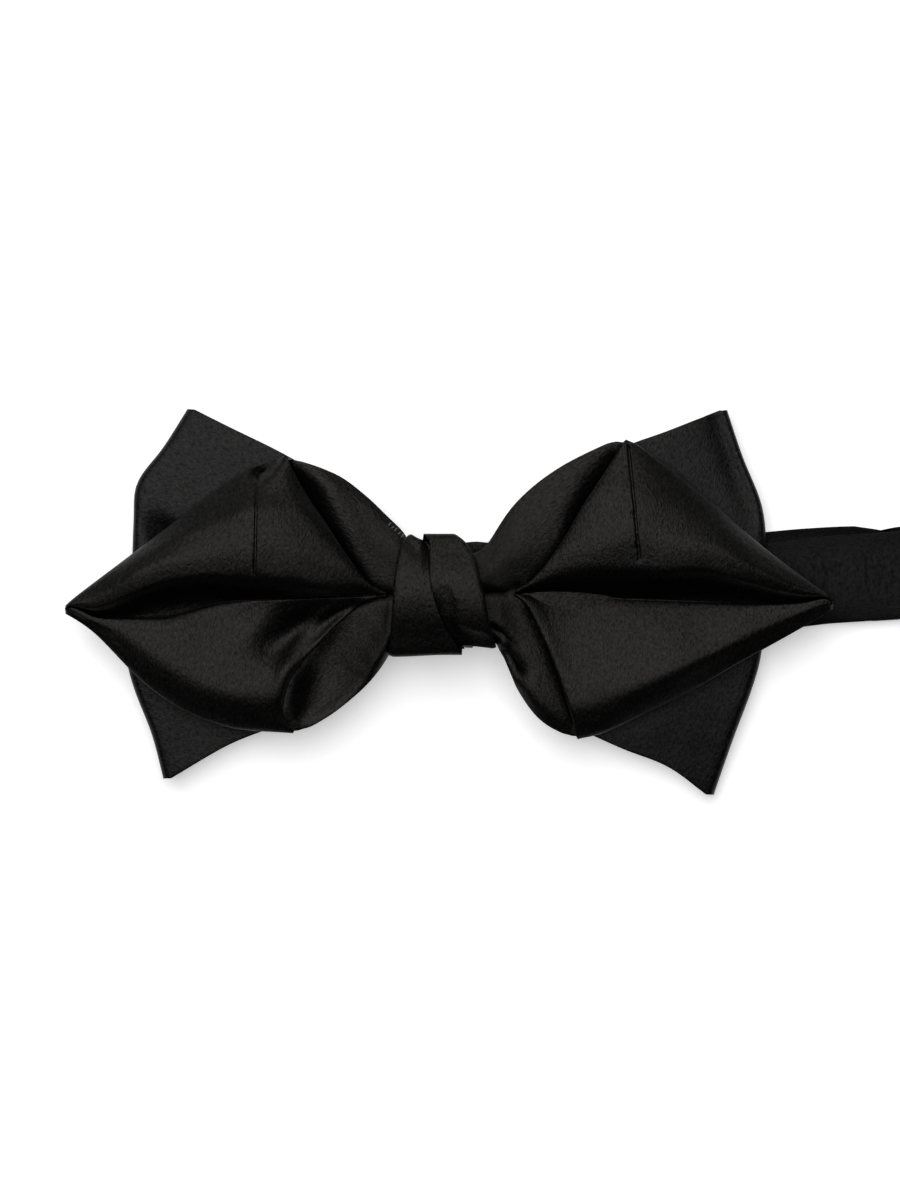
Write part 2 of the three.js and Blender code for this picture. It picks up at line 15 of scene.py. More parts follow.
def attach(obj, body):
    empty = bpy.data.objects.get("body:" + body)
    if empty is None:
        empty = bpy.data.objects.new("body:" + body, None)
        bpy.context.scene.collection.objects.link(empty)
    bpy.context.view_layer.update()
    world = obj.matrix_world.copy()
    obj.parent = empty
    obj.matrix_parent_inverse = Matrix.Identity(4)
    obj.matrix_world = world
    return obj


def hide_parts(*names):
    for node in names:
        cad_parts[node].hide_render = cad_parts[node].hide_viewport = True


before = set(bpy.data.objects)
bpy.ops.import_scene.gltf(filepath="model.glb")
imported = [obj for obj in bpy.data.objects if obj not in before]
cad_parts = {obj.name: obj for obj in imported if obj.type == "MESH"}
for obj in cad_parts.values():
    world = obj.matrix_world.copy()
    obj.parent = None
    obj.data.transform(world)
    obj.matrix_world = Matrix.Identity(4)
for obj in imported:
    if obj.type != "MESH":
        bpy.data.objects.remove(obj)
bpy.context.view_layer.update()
MM = 0.001

# %% [markdown]
# The photograph looks straight down, with the top of the bow at the top of the picture. A long lens from far above
# gives the same flat view. Its frame is 150 mm wide and 200 mm high on the table.

# %% Camera
FRAME_WIDTH = 150 * MM
FRAME_HEIGHT = 200 * MM
CAMERA_HEIGHT = 1.3
CAMERA_X, CAMERA_Y = 0.83 * MM, -0.5 * MM  # the middle of the picture, beside the middle of the knot
camera_data = bpy.data.cameras.new("camera")
camera_data.sensor_fit = "VERTICAL"
camera_data.sensor_height = 36
camera_data.sensor_width = camera_data.sensor_height * FRAME_WIDTH / FRAME_HEIGHT
camera_data.lens = camera_data.sensor_height * CAMERA_HEIGHT / FRAME_HEIGHT
camera_data.clip_start = 0.01
camera_data.clip_end = 20
camera = bpy.data.objects.new("camera", camera_data)
camera.location = (CAMERA_X, CAMERA_Y, CAMERA_HEIGHT)
bpy.context.scene.collection.objects.link(camera)
bpy.context.scene.camera = camera
print("lens", round(camera_data.lens, 1), "mm")

# %% [markdown]
# Folded cloth has few straight lines, but its shape is still given by a few places: the heights along each fold, at
# a few sections. A smooth value between such places must not overshoot, or the satin would show waves that are not
# there, so the curve through the values is a monotone cubic.

# %% Smooth values
def smooth(at, values, t):
    last = len(at) - 1
    if t <= at[0]:
        return values[0]
    if t >= at[last]:
        return values[last]
    i = bisect.bisect_right(at, t) - 1

    def slope(k):
        return (values[k + 1] - values[k]) / (at[k + 1] - at[k])

    def tangent(k):
        if k == 0:
            return slope(0)
        if k == last:
            return slope(last - 1)
        before, after = slope(k - 1), slope(k)
        return 0 if before * after <= 0 else 2 * before * after / (before + after)

    step = at[i + 1] - at[i]
    s = (t - at[i]) / step
    rest = 1 - s
    return (
        values[i] * (1 + 2 * s) * rest * rest
        + tangent(i) * step * s * rest * rest
        + values[i + 1] * s * s * (3 - 2 * s)
        - tangent(i + 1) * step * s * s * rest
    )


def ease(t):
    t = min(max(t, 0), 1)
    return t * t * (3 - 2 * t)


def mix(low, high, t):
    return low + (high - low) * t


print("half way from 0 to 1, eased:", ease(0.5))

# %% [markdown]
# A table keeps one row of numbers for each section of a piece. A height function reads such a table smoothly in both
# directions, so that a fold can be given by a few numbers and still be changed one number at a time.

# %% Tables of heights
def table(columns, *rows):
    """A list of rows, each a dict from the columns' names to the row's numbers."""
    return [dict(zip(columns, row)) for row in rows]


def heights(across, rows, moving=None):
    """A height function from a table: a row for each section, and a named column for each fold line.

    The moving column has its own place in each row, under the name "at", and the others shift with it.
    """
    names = list(across)
    places = [across[name] for name in names]
    along = [row["along"] for row in rows]
    kept = {}

    def height(u, v):
        if u not in kept:
            values = [smooth(along, [row[name] for row in rows], u) for name in names]
            shift = 1
            if moving:
                shift = math.log(across[moving]) / math.log(smooth(along, [row["at"] for row in rows], u))
            kept[u] = values, shift
        values, shift = kept[u]
        return smooth(places, values, v ** shift)

    return height


print("a row of a table:", table(("along", "ridge"), (0.2, 10.8))[0])

# %% [markdown]
# The edges of a piece are drawn in plan, as rounded paths through places measured on the photograph. Four such edges
# hold a patch of cloth between them.

# %% Paths and patches
STEPS_A_SPAN = 16


def path(points):
    """A rounded path in plan through a few points, asked for by its share of the way, 0 to 1."""
    ends = [Vector(p) for p in points]
    ends = [2 * ends[0] - ends[1]] + ends + [2 * ends[-1] - ends[-2]]
    line = []
    for a, b, c, d in zip(ends, ends[1:], ends[2:], ends[3:]):
        ta = 0
        tb = ta + (b - a).length ** 0.5
        tc = tb + (c - b).length ** 0.5
        td = tc + (d - c).length ** 0.5
        for k in range(STEPS_A_SPAN):
            t = mix(tb, tc, k / STEPS_A_SPAN)
            ab = a.lerp(b, (t - ta) / (tb - ta))
            bc = b.lerp(c, (t - tb) / (tc - tb))
            cd = c.lerp(d, (t - tc) / (td - tc))
            line.append(ab.lerp(bc, (t - ta) / (tc - ta)).lerp(bc.lerp(cd, (t - tb) / (td - tb)), (t - tb) / (tc - tb)))
    line.append(ends[-2])
    gone = [0]
    for p, q in zip(line, line[1:]):
        gone.append(gone[-1] + (q - p).length)

    def at(t):
        want = min(max(t, 0), 1) * gone[-1]
        i = min(bisect.bisect_right(gone, want), len(line) - 1)
        return line[i - 1].lerp(line[i], (want - gone[i - 1]) / (gone[i] - gone[i - 1]))

    return at


def patch(low, high, start=None, end=None):
    """The plan of a sheet between four edges: low and high run along it, start and end across it."""
    start = start or (lambda v: low(0).lerp(high(0), v))
    end = end or (lambda v: low(1).lerp(high(1), v))

    def plan(u, v):
        corners = low(0).lerp(high(0), v).lerp(low(1).lerp(high(1), v), u)
        return low(u).lerp(high(u), v) + start(v).lerp(end(v), u) - corners

    return plan


def steps(count, crowding=0.0):
    """Values from 0 to 1, more of them near the ends the higher the crowding."""
    return [i / count - crowding * math.sin(2 * math.pi * i / count) / (2 * math.pi) for i in range(count + 1)]


print("a path of 4 points, half way:", tuple(round(c, 2) for c in path([(0, 0), (1, 2), (3, 2), (4, 0)])(0.5)))

# %% [markdown]
# Small folds and dents lie on top of the main shape, like the dimple in the left back layer. Each is a row of a
# table: a short line in plan, how wide it is and how far it rises above the cloth. A negative rise is a dent.

# %% Folds and dents on a sheet
RIDGE_EDGE, STEP_EDGE = 2.6, 3  # a ridge ends this many widths away, and a step this many reaches


def folds(rows):
    """A height to add at (x, y). Each row is a line in plan with its width and rise in mm, at each of its points.

    A ridge rises on both sides of its line. A step lifts the cloth on the left of its line and lowers it on the
    right, and fades over its reach on the left and the right. A row marked over_fold goes on round the fold's edge.
    """
    ready = []
    for row in rows:
        line = row["line"]
        widths = row["width"] if isinstance(row["width"], list) else [row["width"]] * len(line)
        rises = row["rise"] if isinstance(row["rise"], list) else [row["rise"]] * len(line)
        reach = row.get("reach")
        edge = STEP_EDGE * max(reach) if reach else RIDGE_EDGE * max(widths)
        xs, ys = [p[0] for p in line], [p[1] for p in line]
        box = (min(xs) - edge, max(xs) + edge, min(ys) - edge, max(ys) + edge)
        ready.append((line, widths, rises, reach, box))

    def rise(x, y):
        total = 0
        for line, widths, rises, reach, (x_low, x_high, y_low, y_high) in ready:
            if not (x_low < x < x_high and y_low < y < y_high):
                continue
            nearest = None
            for k in range(len(line) - 1):
                (ax, ay), (bx, by) = line[k], line[k + 1]
                dx, dy = bx - ax, by - ay
                t = ((x - ax) * dx + (y - ay) * dy) / (dx * dx + dy * dy)
                held = min(max(t, 0), 1)
                away = math.hypot(x - ax - dx * held, y - ay - dy * held)
                if nearest is None or away < nearest[0]:
                    left = dx * (y - ay) - dy * (x - ax)
                    nearest = (away, math.copysign(1, left), mix(widths[k], widths[k + 1], held),
                               mix(rises[k], rises[k + 1], held), math.hypot(dx, dy) * (t - held))
            away, side, width, top, beyond = nearest
            if reach:
                fade = math.exp(-((beyond / (2 * width)) ** 2)) * math.exp(-away / reach[side < 0])
                total += top / 2 * side * math.tanh(away / width) * fade
            else:
                total += top * math.exp(-((away / width) ** 2))
        return total

    return rise


print("a dent 1 mm deep, at its middle:", folds([dict(line=[(0, 0), (4, 0)], width=1.0, rise=-1.0)])(2, 0))

# %% [markdown]
# A sheet of cloth starts as a flat grid. Each vertex is moved to its place, and keeps its place on the flat cloth as
# UV in millimetres, so the weave follows the cloth and not the room.

# %% Sheets from grids
def add_sheet(bm, us, vs, place, grain):
    """Adds a grid whose vertices go to place(u, v) in mm. grain(u, v, point) is the place on the flat cloth."""
    made = bmesh.ops.create_grid(bm, x_segments=len(us) - 1, y_segments=len(vs) - 1, size=1)["verts"]
    uv_map = bm.loops.layers.uv.verify()
    flat = {}
    for vert in made:
        u = us[round((vert.co.x + 1) / 2 * (len(us) - 1))]
        v = vs[round((vert.co.y + 1) / 2 * (len(vs) - 1))]
        point = place(u, v)
        flat[vert] = grain(u, v, point)
        vert.co = point * MM
    for face in {face for vert in made for face in vert.link_faces}:
        for loop in face.loops:
            loop[uv_map].uv = flat[loop.vert]
    return made


def in_plan(degrees):
    """The grain of cloth that lies nearly flat: its plan, turned so that the warp runs along U."""
    turn = Matrix.Rotation(math.radians(-degrees), 2)
    return lambda u, v, point: turn @ point.xy


print("grain of a point 10 mm to the right, on cloth turned by 90 degrees:", in_plan(90)(0, 0, Vector((10, 0, 0))))

# %% [markdown]
# A grid shows small steps where two tables meet, so it is softened a little, as pressed cloth evens itself out. The
# finished sheet is welded where its edges meet, and gets its wall from Solidify and its soft edges from Bevel.

# %% Finishing a sheet
SOFTENINGS, SOFTENING = 2, 0.5
WELD_DISTANCE = 0.02  # mm
EDGE_ROUNDING, ROUNDED_ABOVE = 0.3, 60  # share of the wall, and the least angle of an edge that is rounded


def soften(bm, verts):
    inner = [vert for vert in verts if vert.is_valid and not vert.is_boundary]
    for _ in range(SOFTENINGS):
        bmesh.ops.smooth_vert(bm, verts=inner, factor=SOFTENING, use_axis_x=True, use_axis_y=True, use_axis_z=True)


def as_piece(name, bm):
    """Makes the bmesh an object of the scene, shaded smooth."""
    for face in bm.faces:
        face.smooth = True
    mesh = bpy.data.meshes.new(name)
    bm.to_mesh(mesh)
    bm.free()
    piece = bpy.data.objects.new(name, mesh)
    bpy.context.scene.collection.objects.link(piece)
    print(name, len(mesh.polygons), "faces")
    return piece


def finish_sheet(name, bm, thickness, offset=-1):
    """Welds the sheet, turns its front outwards, and gives it its thickness and soft edges."""
    bmesh.ops.remove_doubles(bm, verts=bm.verts[:], dist=WELD_DISTANCE * MM)
    bmesh.ops.recalc_face_normals(bm, faces=bm.faces[:])
    highest = max(bm.faces, key=lambda face: face.calc_center_median().z)
    highest.normal_update()
    if highest.normal.z < 0:
        bmesh.ops.reverse_faces(bm, faces=bm.faces[:])
    piece = as_piece(name, bm)
    wall = piece.modifiers.new("cloth", "SOLIDIFY")
    wall.thickness = thickness * MM
    wall.offset = offset
    rounding = piece.modifiers.new("rounded edges", "BEVEL")
    rounding.width = thickness * EDGE_ROUNDING * MM
    rounding.segments = 2
    rounding.limit_method = "ANGLE"
    rounding.angle_limit = math.radians(ROUNDED_ABOVE)
    return piece


print("edges sharper than", ROUNDED_ABOVE, "degrees are rounded")

# %% [markdown]
# The front bow is one strip of satin that passes through the knot. Beyond the peak and the foot of each wing its
# sides turn over at soft folds and come back as two flaps, which are sewn together in the valley. The flaps' inner
# edges stay open, and the inside of the strip shows there. So the sheet is made as the real one goes: a flap from
# the valley to the fold, round the fold, and on to the strip, with the shared edges welded.

# %% Front bow: edges in plan, in mm
RIGHT_WING = dict(
    band_top=[(0, 6.4), (5.3, 6.8), (7.6, 8.6), (9.6, 12.0), (11.6, 15.0), (15.0, 18.4), (19.6, 21.7),
              (25.6, 24.8), (28.4, 26.0), (30.0, 26.1)],
    fold_top=[(30.0, 26.1), (31.8, 25.3), (37.4, 21.4), (44.4, 15.8), (51.5, 9.4), (58.2, 4.2), (63.1, 0.7),
              (64.3, -0.6)],
    inner_top=[(11.4, 0.8), (13.4, 2.1), (16.2, 4.9), (19.7, 9.8), (22.7, 15.0), (26.2, 20.3), (30.0, 26.1)],
    valley=[(11.4, 0.6), (27, -0.2), (41, -0.7), (55, -1.0), (59.4, -0.8), (61.3, -0.4), (63.0, -0.2), (64.3, -1.1)],
    inner_bottom=[(11.4, 0.4), (13.2, -1.0), (14.9, -4.0), (17.0, -8.8), (19.6, -15.8), (21.1, -20.4), (22.0, -23.6)],
    fold_bottom=[(22.0, -23.6), (26.2, -22.6), (33.9, -19.1), (40.9, -15.6), (48.0, -11.4), (58.3, -5.6),
                 (62.4, -3.2), (64.3, -1.9)],
    band_bottom=[(0, -7.0), (8.6, -6.9), (10.0, -9.4), (12.8, -15.5), (16.3, -20.3), (22.0, -23.6)],
)
LEFT_WING = dict(
    band_top=[(0, 7.4), (-6.3, 8.6), (-7.4, 10.5), (-10.1, 13.3), (-13.3, 16.5), (-17.1, 19.5), (-21.0, 21.3),
              (-26.4, 23.5)],
    fold_top=[(-26.4, 23.5), (-29.9, 22.2), (-32.8, 21.2), (-38.3, 17.6), (-46.6, 11.2), (-51.6, 7.4), (-58.6, 2.1),
              (-61.8, -0.4), (-62.9, -1.4)],
    inner_top=[(-9.3, 0.6), (-12.4, 2.3), (-15.6, 6.1), (-19.6, 12.2), (-23.4, 17.8), (-26.4, 23.5)],
    valley=[(-9.3, 0.4), (-30, -0.5), (-36.7, -0.8), (-40.8, -1.7), (-45, -2.9), (-49.2, -3.3), (-57.5, -3.4),
            (-59.7, -2.5), (-61.0, -1.9), (-62.0, -1.7), (-62.9, -2.1)],
    inner_bottom=[(-9.3, 0.2), (-13.2, -1.0), (-17.1, -3.9), (-21.0, -7.9), (-24.8, -12.4), (-26.5, -16.3),
                  (-26.6, -19.3), (-25.2, -22.6)],
    fold_bottom=[(-25.2, -22.6), (-31.9, -22.2), (-35.7, -21.7), (-40.2, -20.3), (-45.3, -17.7), (-50.4, -13.8),
                 (-58.2, -5.9), (-61.3, -3.7), (-62.9, -2.8)],
    band_bottom=[(0, -7.0), (-9.0, -6.9), (-10.0, -9.4), (-13.3, -14.4), (-17.1, -18.2), (-21.0, -20.8),
                 (-25.2, -22.6)],
)
TIPS = dict(left=LEFT_WING["valley"][-1][0], right=RIGHT_WING["valley"][-1][0])
print("front bow, tips at", TIPS, "mm")

# %% [markdown]
# Heights are those of the cloth's front, above the table. On the upper flap the wall climbs steeply out of the
# valley to the crest, and the cloth then falls away slowly to the fold. The lower flap rises slowly from the valley
# to a ridge, and rolls over it to the fold. The crest and the ridge run at a slant, so each row says where they are.
# A row holds its place along the flap, the place of its crest or ridge across it, and then the heights from the
# valley to the fold.

# %% Front bow: heights of the flaps, in mm
UPPER_ACROSS = dict(valley=0, foot=0.05, wall=0.2, crest=0.3, brow=0.5, slope=0.75, shoulder=0.92, fold=1)
UPPER_COLUMNS = ("along", "at", *UPPER_ACROSS)
RIGHT_UPPER_FLAP = table(
    UPPER_COLUMNS,
    (0.00, 0.12, 9.9, 9.9, 10.2, 10.5, 11.2, 10.9, 9.8, 8.8),
    (0.07, 0.22, 8.4, 8.8, 10.7, 11.5, 12.1, 11.5, 9.9, 8.6),
    (0.20, 0.28, 7.5, 8.2, 11.1, 12.2, 12.9, 11.9, 9.9, 8.5),
    (0.38, 0.33, 7.4, 8.2, 11.2, 12.5, 12.9, 11.6, 9.7, 8.4),
    (0.55, 0.44, 7.4, 8.1, 11.0, 12.3, 12.6, 11.2, 9.5, 8.4),
    (0.70, 0.42, 7.6, 8.1, 10.1, 11.2, 11.5, 10.3, 9.1, 8.3),
    (0.85, 0.36, 7.8, 8.2, 9.2, 9.9, 10.2, 9.5, 8.8, 8.2),
    (0.95, 0.35, 7.8, 8.1, 8.8, 9.1, 9.3, 9.0, 8.7, 8.1),
    (1.00, 0.35, 8.2, 8.3, 8.7, 8.8, 8.9, 8.7, 8.4, 8.1),
)
LEFT_UPPER_FLAP = table(
    UPPER_COLUMNS,
    (0.00, 0.10, 9.8, 9.8, 10.1, 10.6, 11.2, 10.5, 9.4, 8.8),
    (0.06, 0.14, 9.9, 10.0, 10.7, 11.3, 12.0, 11.8, 10.0, 8.6),
    (0.20, 0.23, 10.4, 10.6, 12.0, 12.6, 13.0, 12.7, 9.9, 8.5),
    (0.29, 0.27, 10.3, 10.5, 12.0, 12.7, 13.0, 12.2, 9.5, 8.4),
    (0.39, 0.32, 9.5, 9.8, 11.5, 12.4, 12.7, 11.6, 9.5, 8.4),
    (0.50, 0.38, 8.2, 8.6, 11.0, 12.2, 12.5, 11.3, 9.4, 8.4),
    (0.68, 0.50, 7.5, 8.0, 10.5, 11.6, 11.8, 10.7, 9.3, 8.3),
    (0.82, 0.40, 7.6, 8.0, 9.5, 10.3, 10.5, 9.7, 8.9, 8.2),
    (0.94, 0.34, 7.7, 8.1, 8.9, 9.2, 9.3, 9.0, 8.6, 8.1),
    (1.00, 0.34, 8.2, 8.3, 8.7, 8.8, 8.8, 8.7, 8.4, 8.1),
)
LOWER_ACROSS = dict(valley=0, rise=0.25, face=0.5, ridge=0.75, shoulder=0.9, fold=1)
LOWER_COLUMNS = ("along", "at", *LOWER_ACROSS)
RIGHT_LOWER_FLAP = table(
    LOWER_COLUMNS,
    (0.00, 0.78, 9.9, 10.1, 10.4, 10.6, 9.7, 8.5),
    (0.07, 0.77, 8.4, 9.3, 10.0, 10.5, 9.6, 8.4),
    (0.20, 0.76, 7.5, 8.9, 10.0, 10.8, 9.7, 8.3),
    (0.38, 0.74, 7.4, 8.7, 10.0, 10.9, 9.6, 8.3),
    (0.55, 0.70, 7.4, 8.4, 9.4, 10.2, 9.1, 8.2),
    (0.70, 0.60, 7.6, 8.3, 8.9, 9.5, 8.8, 8.1),
    (0.85, 0.45, 7.8, 8.3, 8.6, 8.9, 8.4, 8.0),
    (0.95, 0.35, 7.8, 8.6, 8.8, 8.8, 8.3, 8.0),
    (1.00, 0.35, 8.2, 8.6, 8.7, 8.6, 8.3, 8.0),
)
LEFT_LOWER_FLAP = table(
    LOWER_COLUMNS,
    (0.00, 0.78, 9.8, 10.2, 10.5, 10.5, 9.5, 8.5),
    (0.06, 0.78, 9.9, 9.6, 10.1, 10.7, 9.6, 8.4),
    (0.20, 0.77, 10.4, 9.6, 10.0, 10.8, 9.6, 8.3),
    (0.29, 0.75, 10.3, 9.5, 10.0, 10.8, 9.6, 8.3),
    (0.39, 0.72, 9.5, 8.9, 9.8, 10.6, 9.5, 8.3),
    (0.50, 0.68, 8.2, 8.8, 9.8, 10.4, 9.3, 8.2),
    (0.68, 0.56, 7.5, 8.7, 9.4, 9.7, 8.9, 8.1),
    (0.82, 0.42, 7.6, 8.5, 8.8, 9.0, 8.5, 8.0),
    (0.94, 0.35, 7.7, 8.7, 8.8, 8.8, 8.3, 8.0),
    (1.00, 0.35, 8.2, 8.5, 8.7, 8.6, 8.3, 8.0),
)
print("flaps:", len(RIGHT_UPPER_FLAP), "to", len(LEFT_UPPER_FLAP), "sections")

# %% [markdown]
# The strip behind the flaps is given by the heights of its back, from its bottom edge to its top edge. Its rows run
# from the knot, at 0, to the flaps, at 1, and on behind them to the tip, at 2. It is bunched in the knot, and flat
# behind the flaps.

# %% Front bow: heights of the strip, in mm
STRIP_ACROSS = dict(bottom=0, low_rim=0.06, low_band=0.18, low_inner=0.32, crease=0.5, high_inner=0.68, high_band=0.82,
                    high_rim=0.94, top=1)
STRIP_COLUMNS = ("along", *STRIP_ACROSS)
FLAT_STRIP = table(
    STRIP_COLUMNS,
    (1.15, 6.5, 6.3, 6.2, 6.15, 6.15, 6.15, 6.2, 6.4, 6.6),
    (1.80, 6.5, 6.3, 6.2, 6.15, 6.15, 6.15, 6.2, 6.4, 6.6),
    (2.00, 6.9, 6.9, 6.9, 6.9, 6.9, 6.9, 6.9, 6.9, 6.9),
)
RIGHT_STRIP = table(
    STRIP_COLUMNS,
    (0.00, 8.4, 9.4, 10.0, 9.9, 9.4, 10.0, 10.0, 9.4, 8.6),
    (0.25, 7.9, 9.1, 9.3, 9.1, 9.0, 9.4, 9.0, 8.6, 8.1),
    (0.50, 7.9, 9.2, 9.0, 8.5, 8.2, 9.0, 8.6, 8.1, 7.7),
    (0.75, 7.8, 9.0, 8.7, 8.2, 7.6, 8.3, 8.3, 7.9, 7.6),
    (1.00, 7.4, 8.1, 7.8, 7.4, 7.0, 7.0, 7.2, 7.6, 7.5),
) + FLAT_STRIP
LEFT_STRIP = table(
    STRIP_COLUMNS,
    (0.00, 8.4, 9.4, 10.0, 10.0, 9.4, 9.9, 10.0, 9.4, 8.6),
    (0.25, 8.0, 9.3, 9.3, 9.1, 8.9, 9.1, 9.1, 8.5, 7.8),
    (0.50, 7.8, 8.9, 8.6, 8.2, 8.0, 8.4, 8.7, 8.4, 7.8),
    (0.75, 7.6, 8.3, 8.1, 7.9, 7.4, 8.0, 8.6, 8.2, 7.7),
    (1.00, 7.7, 8.6, 8.5, 6.2, 6.2, 6.2, 7.8, 7.9, 7.6),
) + FLAT_STRIP
print("strip:", len(LEFT_STRIP), "sections on each side")

# %% [markdown]
# On top of the main shape lie the small things: the hollow in the left lower flap, the pocket under the left peak,
# and the strip's own ridges. Beside the flaps' open edges the strip dips out of the light, and the steep step under
# the left lower flap is the side of its roll.

# %% Front bow: folds and dents, in mm
LEFT_FLAP_FOLDS = [
    dict(line=[(-28.4, -8.0), (-25.8, -6.9), (-22.8, -5.4), (-18.8, -3.0), (-14.8, -1.2)],
         width=[2.8, 3.1, 2.7, 1.5, 0.8], rise=[-1.3, -1.9, -1.9, -1.3, -0.5]),
    dict(line=[(-9.7, 0.2), (-16.7, -0.9), (-20.6, -3.4), (-24.4, -7.9), (-26.6, -12.4), (-27.6, -16.4)],
         width=[0.6, 1.0, 1.3, 1.5, 1.5, 1.4], rise=[0.1, 0.5, 1.0, 1.1, 0.9, 0.4]),
    dict(line=[(-31.0, 20.0), (-29.6, 21.4), (-27.6, 23.6)], width=[0.9, 1.1, 0.8], rise=[-1.2, -2.0, -1.4],
         over_fold=True),
    dict(line=[(-31.2, 19.2), (-29.9, 20.5), (-28.2, 22.3), (-26.6, 23.9)], width=0.2, rise=[-0.4, -1.4, -1.6, -1.0],
         reach=(2.0, 2.0), over_fold=True),
]
LEFT_STRIP_FOLDS = [
    dict(line=[(-20.8, 20.4), (-18.4, 12.6), (-14.9, 6.8), (-11.6, 3.7)], width=[2.6, 2.8, 2.4, 1.4],
         rise=[0.8, 1.0, 0.9, 0.3]),
    dict(line=[(-27.0, 21.4), (-23.9, 16.8), (-20.4, 11.4), (-16.9, 5.8), (-13.6, 2.4)],
         width=[2.6, 3.4, 3.2, 2.2, 0.9], rise=[-1.8, -2.6, -2.6, -2.0, -1.0]),
    dict(line=[(-26.4, -22.0), (-25.8, -18.6), (-24.4, -13.8), (-22.8, -10.8), (-20.7, -7.6), (-18.1, -4.6),
               (-15.4, -2.6)],
         width=[1.8, 2.9, 2.9, 2.4, 1.7, 1.1, 0.5], rise=[2.2, 4.6, 4.6, 4.0, 2.8, 1.5, 0.6], reach=(4, 14)),
    dict(line=[(-7.6, 0.4), (-10.0, 0.5), (-13.6, 0.8)], width=[0.4, 0.5, 0.8], rise=-1.5),
]
RIGHT_STRIP_FOLDS = [
    dict(line=[(28.8, 23.4), (26.2, 18.6), (23.0, 13.4), (20.6, 8.6), (17.0, 3.8), (13.8, 1.6)],
         width=[1.6, 2.2, 2.0, 1.0, 0.7, 0.4], rise=[-1.0, -1.6, -1.8, -1.5, -1.4, -1.2]),
    dict(line=[(5.4, 0.8), (10.0, 0.8), (13.0, 1.3)], width=0.4, rise=-1.4),
    dict(line=[(13.6, -1.4), (15.2, -4.4), (17.4, -9.2), (20.0, -16.0), (21.9, -22.4)], width=0.5,
         rise=[-1.0, -1.2, -1.2, -1.0, -0.6]),
    dict(line=[(10.4, -9.2), (12.4, -12.4)], width=[1.1, 1.3], rise=[-1.6, -1.6]),
    dict(line=[(7.8, -4.8), (10.0, -6.4), (12.4, -8.6)], width=0.4, rise=[-1.0, -0.8, -0.3]),
]
print("folds:", len(LEFT_FLAP_FOLDS), "on the left flaps,", len(LEFT_STRIP_FOLDS + RIGHT_STRIP_FOLDS), "on the strip")

# %% [markdown]
# A flap runs from the valley, at v = 0, to the fold, and its last rows go a quarter of a turn round the fold. Its
# open edge, at u = 0, rolls down a little, and at the tip it bends down like a nose.

# %% Front bow: a flap
FOLD_RADIUS = 1.0
RADIUS_AT_PEAK, RADIUS_AT_TIP = 0.6, 0.45  # the fold is tighter at its two ends, by these shares
TURN_SHARE = 0.07  # the part of a flap's rows that goes round the fold
FLAP_LENGTH = 50
INNER_ROLL = 1.6  # mm of a flap beside its open edge that rolls down
ROLL_ENDS, FOLDS_END = 0.15, 0.1  # the roll and the small folds die out in this last share before the fold
NOSE_SHARE, NOSE_DROP = 0.018, 0.6  # the last bit of a flap rolls down over the tip, by this many mm
NOSE_STARTS = 0.4  # share of the way across from which the nose has its full drop


def fold_radius(t):
    return FOLD_RADIUS * mix(RADIUS_AT_PEAK, 1, ease(t / 0.1)) * mix(1, RADIUS_AT_TIP, ease((t - 0.8) / 0.2))


def flap_surface(wing, fold_name, inner_name, across, rows, moving, extra, roll):
    valley, fold = path(wing["valley"]), path(wing[fold_name])
    plan = patch(valley, fold, start=path(wing[inner_name]))
    height = heights(across, rows, moving)
    rise = folds([row for row in extra if not row.get("over_fold")])
    pocket = folds([row for row in extra if row.get("over_fold")])

    def place(u, v):
        share = min(v / (1 - TURN_SHARE), 1)
        point = plan(u, share)
        from_edge = min(u * FLAP_LENGTH / INNER_ROLL, 1)
        droop = roll * (1 - math.sqrt(1 - (1 - from_edge) ** 2)) * ease((1 - share) / ROLL_ENDS)
        nose = min(max(u - 1 + NOSE_SHARE, 0) / NOSE_SHARE, 1)
        droop += NOSE_DROP * (1 - math.sqrt(1 - nose * nose)) * ease(share / NOSE_STARTS)
        small = rise(point.x, point.y) * ease((1 - share) / FOLDS_END) + pocket(point.x, point.y)
        z = height(u, share) + small - droop
        if v > 1 - TURN_SHARE:
            angle = (v - 1 + TURN_SHARE) / TURN_SHARE * math.pi / 2
            inward = (valley(u) - fold(u)).normalized() if u < 1 else Vector((-math.copysign(1, point.x), 0))
            point += inward * fold_radius(u) * (1 - math.cos(angle))
            z -= fold_radius(u) * math.sin(angle)
        return point.to_3d() + Vector((0, 0, z))

    return place


print("the last", NOSE_SHARE * FLAP_LENGTH, "mm of a flap bend down at the tip")

# %% [markdown]
# The strip takes its edges from the knot to the flaps out of the plan, and from there on out of the flaps' own folds,
# so that all three meet vertex on vertex. A floor under it keeps its dents clear of the back bow.

# %% Front bow: the strip
RIM_SHARE, SEAT_SHARE = 0.06, 0.12  # folds die out in this last share of the width, and the strip climbs to its edges
HIDDEN_FROM = 1.25  # beyond here the flaps hide the strip, and it has no small folds
CLEAR_AT_KNOT, CLEAR_BEYOND = 6.5, 5.95  # the back bow's top, in mm, falls away from the knot


